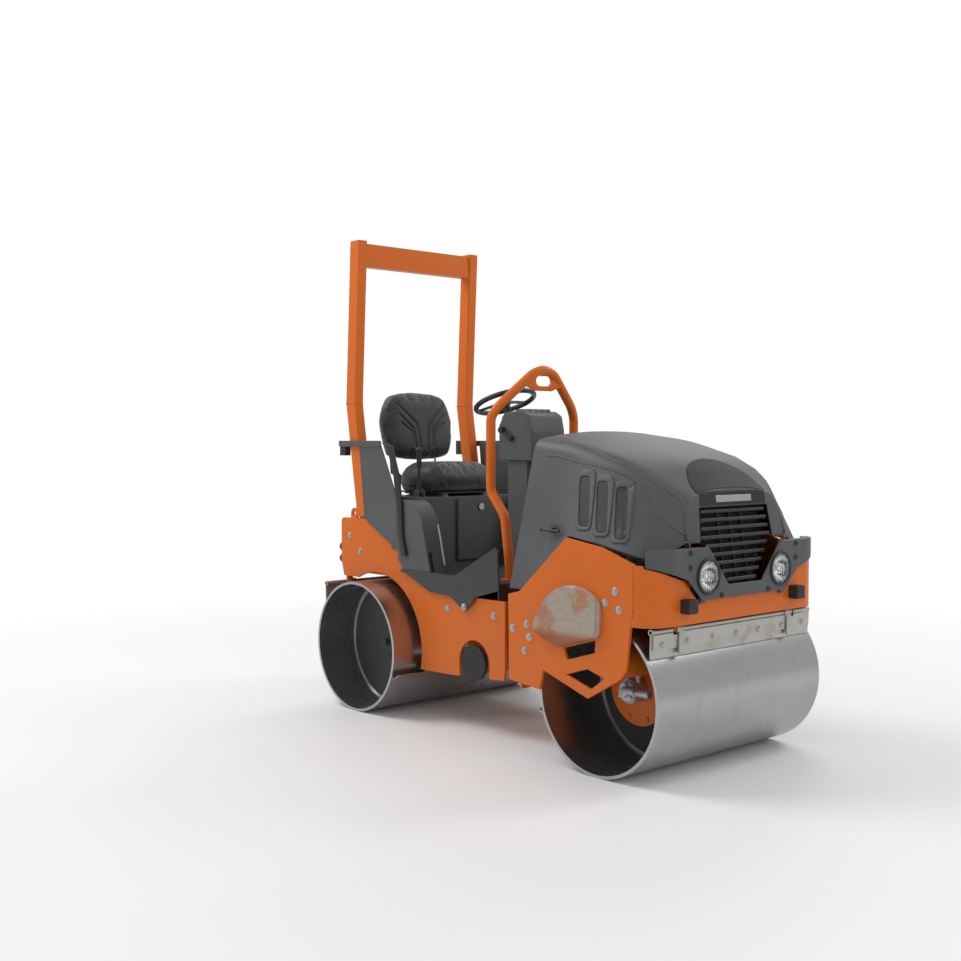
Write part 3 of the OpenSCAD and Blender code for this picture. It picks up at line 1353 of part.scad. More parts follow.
module hood() {
  color(dark_grey) {
    difference() {
      hood_shell();
      both_sides() for (i = [0 : 2]) translate([vent_x[i], -hood_half, vent_z[i]])
          rotate([0, -vent_lean, 0])
        cube([vent_w, vent_reach, vent_h]);
      face_plate([[-mouth_half, mouth_z - cut], [mouth_half, mouth_z - cut], [mouth_half_top, mouth_top],
        [-mouth_half_top, mouth_top]], nose_x - nose_r, nose_x + nose_r);
      both_sides() y_cyl(boss_r - cut, -hood_half, -latch_y + boss_l, latch_x, latch_z);
      both_sides() y_cyl(hinge_r + 2 * cut, -hinge_y - hinge_t - cut / 4, -hinge_y + cut, hinge_x, hinge_z);
    }
    both_sides() difference() {
      y_cyl(boss_r, -latch_y, -latch_y + boss_l, latch_x, latch_z);
      y_cyl(latch_r + run_gap, -latch_y - cut, -latch_y + boss_l + cut, latch_x, latch_z);
    }
    both_sides() difference() {
      union() {
        y_cyl(hinge_r, -hinge_y - hinge_t - ear_t - cut / 2, -hinge_y - hinge_t - cut / 2, hinge_x,
          hinge_z);
        block(hinge_x - 3 * hinge_r, hinge_x, -hinge_y - hinge_t - ear_t - cut / 2,
          -hinge_y - hinge_t - cut / 2,
          hinge_z, hinge_z + 2 * hinge_r);
      }
      y_cyl(hinge_pin_r + run_gap, -hinge_y - 2 * hinge_t - 2 * ear_t, -hinge_y, hinge_x, hinge_z);
    }
  }
}
module latch_handle() {
  color(steel) {
    y_cyl(latch_r, -latch_y - latch_off, -latch_y + boss_l + cut, latch_x, latch_z);
    x_cyl(handle_t / 2, latch_x - handle_l / 2, latch_x + handle_l / 2, -latch_y - latch_off, latch_z);
    translate([latch_x - handle_l / 2, -latch_y - latch_off, latch_z]) sphere(r = handle_t * 0.62);
    block(latch_x - cut, latch_x + 3 * latch_r, -latch_y + boss_l + seat_gap, -latch_y + boss_l + cut,
      latch_z - latch_r / 2, latch_z + latch_r / 2);
  }
}
module hood_latch_right() { latch_handle(); }
module hood_latch_left() { mirror([0, 1, 0]) latch_handle(); }

// Grille with slats that get narrower towards the foot of the opening
function grille_half(s) = s > grille_mid_share
  ? grille_w_mid + (grille_w_top - grille_w_mid) * (s - grille_mid_share) / (1 - grille_mid_share)
  : grille_w_low + (grille_w_mid - grille_w_low) * s / grille_mid_share;
module grille() {
  color(black) {
    for (i = [0 : grille_n - 1]) {
      s = i / (grille_n - 1);
      z = grille_z + (grille_h - slat_t) * s;
      x = grille_x - grille_lean * s;
      w = grille_half(s);
      block(x - slat_l, x, -w, w, z, z + slat_t);
    }
    for (k = [-1, 1]) block(grille_x - slat_l, nose_x - plate_t - cut, k * grille_w_low * 0.8 - slat_t / 2,
      k * grille_w_low * 0.8 + slat_t / 2, deck_z + tube_t, grille_z + cut);
    for (y = [-grille_w_low * 0.8, 0, grille_w_low * 0.8])
      side_plate([[grille_x - slat_l, grille_z], [grille_x - slat_l * 0.8, grille_z],
      [grille_x - slat_l * 0.8 - grille_lean, grille_z + grille_h],
      [grille_x - slat_l - grille_lean, grille_z + grille_h]], y - slat_t / 4, y + slat_t / 4);
  }
}
function face_arc(in) = let (c = face_x - face_corner)
  [for (i = [0 : 8]) let (a = face_turn * i / 8) [c + (face_corner - in) * cos(a),
  face_flat + (face_corner - in) * sin(a)]];
module face_band() {
  out = face_arc(0);
  in = face_arc(face_t);
  half = concat([[face_x, 0]], out, [for (i = [8 : -1 : 0]) in[i]], [[face_x - face_t, 0]]);
  translate([0, 0, face_low]) linear_extrude(face_high - face_low + face_corner) both_sides() polygon(half);
}
module headlight_panel() {
  color(dark_grey) difference() {
    intersection() {
      face_band();
      face_plate([[-face_half_low, face_low], [face_half_low, face_low], [face_half_knee, face_knee_z],
        [face_half, face_side_z], [face_half, face_high], [face_v_top + slat_t, face_high],
        [face_v_top, face_high + slat_t], [face_v_low, face_v_z], [-face_v_low, face_v_z],
        [-face_v_top, face_high + slat_t], [-face_v_top - slat_t, face_high], [-face_half, face_high],
        [-face_half, face_side_z], [-face_half_knee, face_knee_z]], face_x - 2 * face_corner, face_x + cut);
    }
    both_sides() x_cyl(lamp_d / 2 - lamp_proud / 2, face_x - face_corner, face_x + cut, -lamp_y, lamp_z);
  }
  color(dark_grey) both_sides() difference() {
    translate([0, 0, face_high - face_t]) linear_extrude(face_t) polygon(concat([[face_x, -face_flange_y]],
      [for (p = face_arc(0)) [p[0], -p[1]]], [for (i = [8 : -1 : 0]) let (p = face_arc(face_flange)[i])
      [p[0], -p[1]]], [[face_x - face_flange, -face_flange_y]]));
    block(face_x - face_flange - cut, hinge_x + hinge_r + air_gap, -hinge_y - 2 * hinge_t - 2 * ear_t,
      -hinge_y + air_gap, face_high - face_t - cut, face_high + cut);
  }
  color(dark_grey) both_sides()
    block(nose_x, face_x - face_t, -face_half_low, -face_half_low + 2 * plate_t, face_low - plate_t,
    face_low + plate_t);
}
module headlamps() {
  color(black) both_sides() difference() {
    union() {
      x_cyl(lamp_d / 2, face_x, face_x + lamp_proud, -lamp_y, lamp_z);
      x_cyl(lamp_d / 2 - lamp_proud, face_x - lamp_depth, face_x + cut, -lamp_y, lamp_z);
    }
    x_cyl(lens_r + seat_gap, face_x - lamp_depth + lamp_proud, face_x + 2 * lamp_proud, -lamp_y, lamp_z);
  }
}
module headlamp_lenses() {
  dome = concat([[0, 0]], [for (i = [0 : 8]) let (a = 90 * i / 8) [lens_r * cos(a),
    lamp_proud + lens_bulge * sin(a)]]);
  color([0.85, 0.9, 0.95, 0.5]) both_sides() translate([face_x - lamp_proud, -lamp_y, lamp_z])
      rotate([0, 90, 0])
    rotate_extrude() polygon(concat([[0, 0], [lens_r, 0]], [for (i = [1 : 9]) dome[i]]));
}
module front_bumpers() {
  color(black) both_sides() {
    block(nose_x, half_l, -bumper_y - bumper_w / 2, -bumper_y + bumper_w / 2, bumper_z - bumper_w / 2,
      bumper_z + bumper_w / 2);
  }
}
module rubber_buffers() {
  back = rear_x - rear_over;
  color(black) both_sides() {
    for (z = [buffer_z, buffer_z + buffer_step]) x_cyl(buffer_r, -half_l, back + plate_t, -buffer_y, z);
    y_cyl(side_buffer_r, -rear_half - plate_t / 2, -rear_in, side_hole_x, side_hole_z + cut);
  }
}
module side_cover() {
  pts = spread(cover_shares, cover_x, cover_z, cover_l, cover_h);
  mid = [cover_x + cover_l / 2, cover_z + cover_h / 2];
  small = [for (p = pts) mid + (p - mid) * (1 - 2 * cover_rim / cover_h)];
  color(zinc) {
    side_plate(pts, -front_half - cover_t * 0.7, -front_half);
    side_plate(small, -front_half - cover_t, -front_half - cover_t * 0.7);
  }
}

// Engine bay
module engine() {
  color(zinc) {
    block(engine_x, engine_x + engine_l, -engine_w / 2, engine_w / 2, engine_z + head_h,
      engine_z + engine_h - head_h);
    block(engine_x + head_in, engine_x + engine_l - head_in, -sump_w / 2, sump_w / 2, engine_z,
      engine_z + head_h);
    block(engine_x + head_in / 2, engine_x + engine_l - head_in / 2, -engine_w / 2 + head_in,
      engine_w / 2 - head_in,
      engine_z + engine_h - head_h, engine_z + engine_h);
    difference() {
      x_cyl(fan_seat_r, engine_x + engine_l, engine_x + engine_l + fan_seat_l, 0, fan_z);
      x_cyl(fan_shaft_r + run_gap, engine_x + engine_l + cut, engine_x + engine_l + fan_seat_l + cut, 0,
        fan_z);
    }
    for (i = [0 : 2]) y_cyl(pipe_r, -engine_w / 2 - head_in, -engine_w / 2,
      engine_x + engine_l * (0.2 + 0.3 * i),
      engine_z + engine_h - 2 * head_h);
  }
}
module cooling_fan() {
  color(black) {
    x_cyl(fan_hub_r, fan_x - fan_hub_l / 2, fan_x + fan_hub_l / 2, 0, fan_z);
    x_cyl(fan_shaft_r, engine_x + engine_l + 2 * cut, fan_x, 0, fan_z);
    for (i = [0 : fan_blades - 1]) translate([fan_x, 0, fan_z]) rotate([360 * i / fan_blades, 0, 0])
      rotate([0, 0, fan_pitch]) translate([-fan_blade_t / 2, -blade_chord / 2, fan_hub_r - 2 * cut])
      cube([fan_blade_t, blade_chord, fan_r - fan_hub_r]);
  }
}
module radiator() {
  x1 = radiator_x + radiator_l;
  z0 = deck_z + tube_t;
  color(black) difference() {
    block(radiator_x, x1, -radiator_half, radiator_half, z0, radiator_z + radiator_h);
    for (i = [1 : 12]) block(radiator_x - cut, x1 + cut, -radiator_half + console_t * 3,
      radiator_half - console_t * 3, radiator_z + radiator_h * i / 14,
      radiator_z + radiator_h * i / 14 + rod_r);
  }
}
module hydraulic_pump() {
  color(black) {
    x_cyl(pump_r, engine_x - pump_l, engine_x, 0, pump_z);
    x_cyl(pump_r * 0.7, engine_x - 1.7 * pump_l, engine_x - pump_l, 0, pump_z);
  }
}
module air_filter() {
  color(black) {
    x_cyl(filter_r, filter_x, filter_x + filter_l, filter_y, filter_z);
    x_cyl(filter_r * 0.45, filter_x + filter_l, filter_x + filter_l + pipe_r, filter_y, filter_z);
    block(filter_x + filter_l / 4, filter_x + filter_l * 0.75, filter_y + filter_r / 2,
      -engine_w / 2 + head_in,
      engine_z + engine_h - head_h / 2, engine_z + engine_h - head_h / 4);
    block(filter_x + filter_l / 4, filter_x + filter_l * 0.75, filter_y - pipe_r,
      filter_y + filter_r / 2 + cut,
      engine_z + engine_h - head_h / 2, filter_z);
  }
}
module silencer() {
  color(steel) {
    x_cyl(silencer_r, silencer_x, silencer_x + silencer_l, silencer_y, silencer_z);
    for (k = [0.2, 0.7]) block(silencer_x + silencer_l * k, silencer_x + silencer_l * k + rod_r,
      silencer_y - pipe_r,
      silencer_y + pipe_r, deck_z + tube_t, silencer_z - silencer_r / 2);
    z_cyl(pipe_r, silencer_z, silencer_z + 2 * silencer_r, silencer_x + silencer_l / 2, silencer_y);
  }
}
module battery() {
  color(black) {
    block(battery_x, battery_x + battery_l, battery_y, battery_y + battery_w, deck_z + tube_t,
      deck_z + tube_t + battery_h);
    for (k = [0.2, 0.8]) z_cyl(rod_r * 0.6, deck_z + tube_t + battery_h,
      deck_z + tube_t + battery_h + rod_r,
      battery_x + battery_l / 2, battery_y + battery_w * k);
  }
}
module fuel_tank() {
  z0 = deck_z + tube_t;
  color(black) {
    difference() {
      block(fuel_x, fuel_x + fuel_l, fuel_y, fuel_y + fuel_w, z0, z0 + fuel_h);
      block(fuel_x + tube_t, fuel_x + fuel_l - tube_t, fuel_y + tube_t, fuel_y + fuel_w - tube_t,
        z0 + tube_t, z0 + fuel_h - tube_t);
    }
    z_cyl(neck_r, z0 + fuel_h, z0 + fuel_h + neck_h, fuel_x + fuel_l / 2, fuel_y + fuel_w / 2);
  }
}

rear_frame();
rear_drum_carrier();
rops_frame();
lifting_hoop();
operator_platform();
seat_console();
side_panels();
dash_console();
instrument_panel();
steering_column();
water_tank();
rear_lights();
rubber_buffers();
rear_drum_motor();
rear_bolts();
steering_cylinder();
console_door();
door_lock();
seat_base();
seat_cushion();
backrest_bracket();
seat_backrest();
drive_lever();
steering_wheel();
ignition_key();
emergency_stop();
throttle_lever();
vibration_switch();
water_cap();
rear_drum();
rear_exciter();
rear_scraper_outer();
rear_scraper_inner();
centre_link();
steering_rod();
front_frame();
front_drum_carrier();
front_drum();
front_drum_motor();
front_exciter();
front_scraper_outer();
front_scraper_inner();
front_bolts();
hood();
hood_latch_right();
hood_latch_left();
grille();
headlight_panel();
headlamps();
headlamp_lenses();
front_bumpers();
engine();
radiator();
cooling_fan();
hydraulic_pump();
air_filter();
silencer();
side_cover();
battery();
fuel_tank();
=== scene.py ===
"""Looks of the tandem roller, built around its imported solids."""

from __future__ import annotations

import json
import logging
import math
from dataclasses import dataclass, field
from enum import Enum
from typing import Any, Callable, Iterable, Sequence

import bmesh
import bpy
from mathutils import Matrix, Vector
from mathutils.bvhtree import BVHTree

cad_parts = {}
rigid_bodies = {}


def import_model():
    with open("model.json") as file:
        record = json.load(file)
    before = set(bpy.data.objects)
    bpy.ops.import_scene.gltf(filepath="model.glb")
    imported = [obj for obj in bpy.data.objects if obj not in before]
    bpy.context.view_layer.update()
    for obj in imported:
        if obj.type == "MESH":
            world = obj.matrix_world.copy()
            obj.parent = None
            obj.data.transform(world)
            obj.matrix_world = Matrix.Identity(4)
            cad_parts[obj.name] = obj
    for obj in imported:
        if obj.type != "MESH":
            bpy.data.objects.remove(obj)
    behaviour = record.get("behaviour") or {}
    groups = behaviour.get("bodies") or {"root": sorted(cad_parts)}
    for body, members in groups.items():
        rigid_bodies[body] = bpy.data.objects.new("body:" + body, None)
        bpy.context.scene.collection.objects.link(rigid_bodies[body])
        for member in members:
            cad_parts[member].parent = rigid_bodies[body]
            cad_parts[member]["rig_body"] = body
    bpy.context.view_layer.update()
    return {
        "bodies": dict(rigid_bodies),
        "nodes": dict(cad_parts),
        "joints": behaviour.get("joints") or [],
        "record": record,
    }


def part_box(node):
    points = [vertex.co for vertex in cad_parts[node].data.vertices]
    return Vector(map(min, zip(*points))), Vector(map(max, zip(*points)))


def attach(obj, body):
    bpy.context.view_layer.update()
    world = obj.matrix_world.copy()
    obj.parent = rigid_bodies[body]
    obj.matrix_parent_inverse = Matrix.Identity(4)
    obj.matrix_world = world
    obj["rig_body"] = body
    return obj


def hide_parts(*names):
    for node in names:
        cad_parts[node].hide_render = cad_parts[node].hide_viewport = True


log = logging.getLogger("roller")

Point = tuple[float, float, float]
Colour = tuple[float, float, float]

IMAGE_SIDE = 961
SENSOR = 36.0
FOCAL_PIXELS = 1233.054
CAMERA_PLACE: Point = (4.67466, -4.60016, 1.50598)
CAMERA_TURN = 0.72302
CAMERA_DIP = 0.0323
# Distance below which two corners are one, in metres
MERGE = 0.00002
# Raised lines on the hood's side, each point's place along and up
SWAGE_LINES = (
    ((0.42, 1.522), (0.549, 1.514), (0.768, 1.458), (0.969, 1.383), (1.108, 1.31), (1.191, 1.244),
     (1.215, 1.179), (1.23, 1.101)),
    ((0.487, 1.438), (0.574, 1.434), (0.66, 1.415), (0.72, 1.402), (0.8, 1.394), (0.9, 1.373),
     (0.99, 1.344), (1.045, 1.312), (1.085, 1.262), (1.12, 1.21), (1.19, 1.138), (1.229, 1.096)),
)
# Boxes in which a node's edges stay sharp: along from and to, up from and to
SPARED = {"hood": ((0.7, 1.1, 1.05, 1.4), (0.56, 0.7, 1.0, 1.16))}
# Moulded lines on the backrest, in shares of its half width and half height
BACKREST_LINES = (
    ((0.7, 0.67), (0.19, 0.09), (0.13, -0.2), (0.1, -0.7)),
    ((0.66, 0.36), (0.29, -0.06), (0.22, -0.64)),
    ((0.6, 0.09), (0.32, -0.18), (0.27, -0.58)),
)


class Limit(Enum):
    """Which edges a rounding takes: those past an angle, or those with a weight."""

    ANGLE = "ANGLE"
    WEIGHT = "WEIGHT"


class Value:
    """One output of a shader node, which adds Math nodes where it is used in a sum."""

    def __init__(self, graph: "Graph", socket: bpy.types.NodeSocket) -> None:
        """Keeps the output and the graph that it belongs to."""
        self.graph = graph
        self.socket = socket

    def maths(self, operation: str, first: Any, second: Any = None) -> "Value":
        """Adds one Math node.

        Args:
            operation: The Math node's operation.
            first: Its first value, a number or a Value.
            second: Its second value, where it has one.

        Returns:
            The node's output.
        """
        given = {0: first} if second is None else {0: first, 1: second}
        return self.graph.node("ShaderNodeMath", {"operation": operation}, given)

    def __add__(self, other: Any) -> "Value":
        """This value plus another."""
        return self.maths("ADD", self, other)

    __radd__ = __add__

    def __sub__(self, other: Any) -> "Value":
        """This value less another."""
        return self.maths("SUBTRACT", self, other)

    def __rsub__(self, other: Any) -> "Value":
        """Another value less this one."""
        return self.maths("SUBTRACT", other, self)

    def __mul__(self, other: Any) -> "Value":
        """This value times another."""
        return self.maths("MULTIPLY", self, other)

    __rmul__ = __mul__

    def __pow__(self, other: Any) -> "Value":
        """This value to a power."""
        return self.maths("POWER", self, other)

    def over(self, edge: Any) -> "Value":
        """One where this value is above the edge, and zero elsewhere."""
        return self.maths("GREATER_THAN", self, edge)

    def span(self, low: float, high: float) -> "Value":
        """This value stretched so that low is zero and high is one, with smooth ends.

        Args:
            low: Where zero is.
            high: Where one is.

        Returns:
            The stretched value.
        """
        return self.graph.node(
            "ShaderNodeMapRange",
            {"interpolation_type": "SMOOTHSTEP"},
            {0: self, 1: low, 2: high, 3: 0.0, 4: 1.0},
        )


class Graph:
    """The node graph of one material."""

    def __init__(self, name: str) -> None:
        """Starts a material with its principled shader.

        Args:
            name: The material's name.
        """
        self.material = bpy.data.materials.new(name)
        self.material.use_nodes = True
        self.tree = self.material.node_tree
        self.shader = self.tree.nodes["Principled BSDF"]
        self.place = self.node("ShaderNodeTexCoord", {}, {}, "Object")

    def node(
        self, kind: str, settings: dict[str, Any], inputs: dict[Any, Any], output: Any = 0
    ) -> Value:
        """Adds any node.

        Args:
            kind: The node's type.
            settings: Its settings, and the stops of a ramp, which are set first.
            inputs: The value or link of each socket, by index or name.
            output: Which output is wanted, by index or name.

        Returns:
            That output.
        """
        made = self.tree.nodes.new(kind)
        for key, value in settings.items():
            if key == "stops":
                ramp = made.color_ramp.elements
                while len(ramp) < len(value):
                    ramp.new(0.5)
                for stop, (place, colour) in zip(ramp, value):
                    stop.position = place
                    stop.color = (*colour, 1.0)
            else:
                setattr(made, key, value)
        for key, value in inputs.items():
            self.feed(made.inputs[key], value)
        return Value(self, made.outputs[output])

    def feed(self, socket: bpy.types.NodeSocket, value: Any) -> None:
        """Links a Value to a socket, or sets the socket to a number, vector or colour.

        Args:
            socket: The socket.
            value: What it gets.
        """
        if isinstance(value, Value):
            self.tree.links.new(value.socket, socket)
        elif socket.type == "RGBA" and len(value) == 3:
            socket.default_value = (*value, 1.0)
        else:
            socket.default_value = value

    def shade(self, **sockets: Any) -> bpy.types.Material:
        """Sets the principled shader's sockets.

        Args:
            sockets: What each socket gets, by its name with _ for a space.

        Returns:
            The material.
        """
        for key, value in sockets.items():
            self.feed(self.shader.inputs[key.replace("_", " ")], value)
        return self.material

    def at(self, scale: Sequence[float], move: Sequence[float] = (0, 0, 0)) -> Value:
        """The place on the piece, moved and then stretched along each axis."""
        moved = self.node("ShaderNodeVectorMath", {"operation": "ADD"}, {0: self.place, 1: move})
        return self.node("ShaderNodeVectorMath", {"operation": "MULTIPLY"}, {0: moved, 1: scale})

    def axis(self, name: str) -> Value:
        """One coordinate of the place on the piece, X, Y or Z, in metres."""
        return self.node("ShaderNodeSeparateXYZ", {}, {0: self.place}, name)

    def noise(self, scale: float, detail: float = 3.0, at: Value | None = None) -> Value:
        """Cloudy noise from zero to one."""
        sockets = {"Vector": at or self.place, "Scale": scale, "Detail": detail}
        return self.node("ShaderNodeTexNoise", {}, sockets)

    def cells(self, scale: float, at: Value | None = None) -> Value:
        """Distance to the middle of the nearest cell, for grain and pits."""
        sockets = {"Vector": at or self.place, "Scale": scale}
        return self.node("ShaderNodeTexVoronoi", {}, sockets)

    def mix(self, share: Any, first: Any, second: Any) -> Value:
        """One colour laid over another.

        Args:
            share: How much of the second shows.
            first: The colour below.
            second: The colour above.

        Returns:
            The colour.
        """
        settings = {"data_type": "RGBA", "blend_type": "MIX"}
        return self.node("ShaderNodeMix", settings, {0: share, 6: first, 7: second}, 2)

    def rounded(self, radius: float) -> Value:
        """The normal as if each sharp edge had that radius."""
        return self.node("ShaderNodeBevel", {"samples": 4}, {"Radius": radius})

    def edges(self, rounded: Value) -> Value:
        """One along sharp edges and zero elsewhere.

        Args:
            rounded: The rounded normal.

        Returns:
            The mask.
        """
        flat = self.node("ShaderNodeNewGeometry", {}, {}, "Normal")
        facing = self.node(
            "ShaderNodeVectorMath", {"operation": "DOT_PRODUCT"}, {0: rounded, 1: flat}, 1
        )
        return (1 - facing).span(0.005, 0.2)

    def bump(self, height: Value, depth: float, normal: Value | None = None) -> Value:
        """A bumped normal.

        Args:
            height: The height, from zero to one.
            depth: How deep one is, in metres.
            normal: The normal that it stands on, where it isn't the face's.

        Returns:
            The normal.
        """
        sockets: dict[Any, Any] = {"Height": height, "Distance": depth, "Strength": 1.0}
        if normal is not None:
            sockets["Normal"] = normal
        return self.node("ShaderNodeBump", {}, sockets)


@dataclass(frozen=True)
class Paint:
    """Sprayed paint with a fine peel, dust near the ground and worn edges."""

    name: str
    colour: Colour
    worn: Colour
    rough: float
    coat: float
    peel: float = 0.00006
    dust: Colour = (0.35, 0.27, 0.2)
    dust_share: float = 0.16

    def build(self) -> bpy.types.Material:
        """Makes the material.

        Returns:
            The material.
        """
        g = Graph(self.name)
        round_edge = g.rounded(0.004)
        edge = g.edges(round_edge)
        cloud = g.noise(3.2, 4.0)
        speck = g.noise(42.0, 5.0)
        low = 1 - g.axis("Z").span(0.2, 1.1)
        dust = (speck * cloud * 2.2).span(0.45, 0.95) * low * self.dust_share
        tone = g.mix((cloud - 0.5) * 0.5 + 0.25, self.colour, tuple(0.82 * c for c in self.colour))
        worn = g.mix(edge * speck.span(0.45, 0.75) * 0.55, tone, self.worn)
        colour = g.mix(dust, worn, self.dust)
        peel = g.noise(620.0, 2.0) * 0.7 + g.noise(90.0, 2.0) * 0.3
        scratch = g.noise(160.0, 1.0, g.at((1.0, 9.0, 0.6))).span(0.68, 0.72)
        rough = self.rough + dust * 1.5 + (speck - 0.5) * 0.14 + scratch * 0.05
        return g.shade(
            Base_Color=colour,
            Roughness=rough,
            Normal=g.bump(peel, self.peel, round_edge),
            Coat_Weight=self.coat,
            Coat_Roughness=0.18,
            Specular_IOR_Level=0.22,
        )


@dataclass(frozen=True)
class Plastic:
    """Moulded plastic with a leather grain, a slight bloom and rubbed edges."""

    name: str
    colour: Colour
    rough: float
    grain: float
    depth: float
    bloom: float = 0.25

    def build(self) -> bpy.types.Material:
        """Makes the material.

        Returns:
            The material.
        """
        g = Graph(self.name)
        round_edge = g.rounded(0.006)
        edge = g.edges(round_edge)
        cloud = g.noise(2.4, 4.0)
        fine = g.noise(70.0, 4.0)
        grain = g.cells(self.grain)
        light = tuple(min(1.0, 1.7 * c + 0.01) for c in self.colour)
        dark = tuple(0.8 * c for c in self.colour)
        tone = g.mix(cloud.span(0.3, 0.75), dark, self.colour)
        bloom = g.mix(fine.span(0.5, 0.8) * self.bloom * 0.5, tone, light)
        colour = g.mix(edge * 0.35, bloom, light)
        height = grain * 0.7 + fine * 0.3
        return g.shade(
            Base_Color=colour,
            Roughness=self.rough + (fine - 0.5) * 0.16 - edge * 0.08,
            Normal=g.bump(height, self.depth, round_edge),
        )


@dataclass(frozen=True)
class Rubber:
    """Black rubber with a dull, dusty, slightly pitted face."""

    name: str
    colour: Colour
    rough: float

    def build(self) -> bpy.types.Material:
        """Makes the material.

        Returns:
            The material.
        """
        g = Graph(self.name)
        round_edge = g.rounded(0.004)
        speck = g.noise(55.0, 5.0)
        pits = g.cells(260.0)
        colour = g.mix(speck.span(0.45, 0.8) * 0.4, self.colour, (0.06, 0.055, 0.05))
        return g.shade(
            Base_Color=colour,
            Roughness=self.rough + (speck - 0.5) * 0.2,
            Normal=g.bump(pits * 0.5 + speck, 0.00025, round_edge),
        )


@dataclass(frozen=True)
class Metal:
    """Bare, plated or cast metal, with marks, stains and a hint of rust."""

    name: str
    colour: Colour
    stain: Colour
    rough: float
    pit_scale: float
    pit_depth: float
    metallic: float = 1.0
    stain_share: float = 0.35

    def build(self) -> bpy.types.Material:
        """Makes the material.

        Returns:
            The material.
        """
        g = Graph(self.name)
        round_edge = g.rounded(0.002)
        edge = g.edges(round_edge)
        cloud = g.noise(9.0, 6.0)
        speck = g.noise(140.0, 4.0)
        stain = (cloud * 0.7 + speck * 0.3).span(0.5, 0.68) * self.stain_share
        bright = tuple(min(1.0, 1.35 * c) for c in self.colour)
        tone = g.mix(edge * 0.6, self.colour, bright)
        colour = g.mix(stain, tone, self.stain)
        pits = g.cells(self.pit_scale) * 0.5 + speck * 0.5
        return g.shade(
            Base_Color=colour,
            Metallic=self.metallic - stain * 0.6,
            Roughness=self.rough + stain * 0.5 + (speck - 0.5) * 0.16,
            Normal=g.bump(pits, self.pit_depth, round_edge),
        )


@dataclass(frozen=True)
class DrumSteel:
    """A drum's finish: rolled bright outside with marks round it, dark paint inside."""

    name: str
    axle_x: float
    axle_z: float
    shell_r: float
    shell_t: float = 0.024

    def build(self) -> bpy.types.Material:
        """Makes the material.

        Returns:
            The material.
        """
        g = Graph(self.name)
        x = g.axis("X") - self.axle_x
        z = g.axis("Z") - self.axle_z
        from_axle = (x * x + z * z) ** 0.5
        shell = from_axle.over(self.shell_r - self.shell_t)
        face = from_axle.over(self.shell_r - 0.004)
        streak = g.noise(1.0, 5.0, g.at((1.3, 60.0, 1.3)))
        fine = g.noise(1.0, 3.0, g.at((5.0, 700.0, 5.0)))
        cloud = g.noise(2.2, 5.0)
        blotch = g.noise(11.0, 6.0)
        wear = (streak * 0.12 + cloud * 0.88).span(0.3, 0.7)
        steel = g.mix(wear, (0.4, 0.4, 0.405), (0.47, 0.472, 0.48))
        stained = g.mix((blotch * cloud * 2).span(0.5, 0.8) * 0.18, steel, (0.3, 0.26, 0.22))
        paint = g.mix(cloud.span(0.3, 0.7), (0.035, 0.037, 0.04), (0.055, 0.057, 0.06))
        colour = g.mix(shell, paint, stained)
        rough = 0.23 + (1 - wear) * 0.05 + fine * 0.03 + (1 - shell) * 0.3
        height = streak * 0.3 + fine * 0.7
        flat = g.bump(height * face, 0.00001)
        return g.shade(Base_Color=colour, Metallic=shell * 0.96, Roughness=rough, Normal=flat)


@dataclass(frozen=True)
class SeatCover:
    """Black coated cloth of the seat, with a fine leather grain."""

    name: str
    colour: Colour

    def build(self) -> bpy.types.Material:
        """Makes the material.

        Returns:
            The material.
        """
        g = Graph(self.name)
        grain = g.cells(520.0)
        crease = g.noise(26.0, 6.0)
        cloud = g.noise(5.0, 3.0)
        light = tuple(1.9 * c for c in self.colour)
        colour = g.mix(cloud.span(0.35, 0.75) * 0.5, self.colour, light)
        return g.shade(
            Base_Color=colour,
            Roughness=0.5 + (crease - 0.5) * 0.25,
            Normal=g.bump(grain * 0.55 + crease * 0.45, 0.0006),
            Sheen_Weight=0.12,
        )


@dataclass(frozen=True)
class LampGlass:
    """Clear lamp glass with moulded flutes, so many radians of them to a metre."""

    name: str
    flutes: float = 420.0

    def build(self) -> bpy.types.Material:
        """Makes the material.

        Returns:
            The material.
        """
        g = Graph(self.name)
        wave = g.axis("Y") * self.flutes
        flute = wave.maths("SINE", wave)
        ripple = g.noise(60.0, 2.0)
        return g.shade(
            Base_Color=(0.93, 0.95, 0.97),
            Roughness=0.05 + ripple * 0.05,
            Normal=g.bump(flute * 0.4 + ripple * 0.3, 0.0016),
            Transmission_Weight=1.0,
            IOR=1.45,
        )


@dataclass(frozen=True)
class CoverMetal:
    """The front drive's cover: warm satin metal with orange patches painted on, a painted
    reflection of the paint nearby.
    """

    name: str
    rim_y: float
    low_z: float

    def build(self) -> bpy.types.Material:
        """Makes the material.

        Returns:
            The material.
        """
        g = Graph(self.name)
        round_edge = g.rounded(0.005)
        cloud = g.noise(7.0, 6.0)
        speck = g.noise(95.0, 5.0)
        # Orange patches on the face: a painted reflection of the orange paint nearby; they are also
        # a little rougher
        reflection_patch = (cloud * 0.72 + speck * 0.28).span(0.52, 0.57)
        face = 1 - g.axis("Y").span(self.rim_y, self.rim_y + 0.012)
        low = 1 - g.axis("Z").span(self.low_z, self.low_z + 0.05)
        base = g.mix(speck.span(0.3, 0.7), (0.34, 0.29, 0.235), (0.41, 0.35, 0.29))
        painted_reflection = g.mix(reflection_patch * face * 0.8, base, (0.42, 0.16, 0.07))
        rim = g.mix(face, (0.6, 0.57, 0.53), painted_reflection)
        colour = g.mix(low, rim, (0.3, 0.11, 0.045))
        return g.shade(
            Base_Color=colour,
            Metallic=0.35 + (1 - face) * 0.3,
            Roughness=0.46 + reflection_patch * 0.12,
            Normal=g.bump(speck, 0.00022, round_edge),
        )


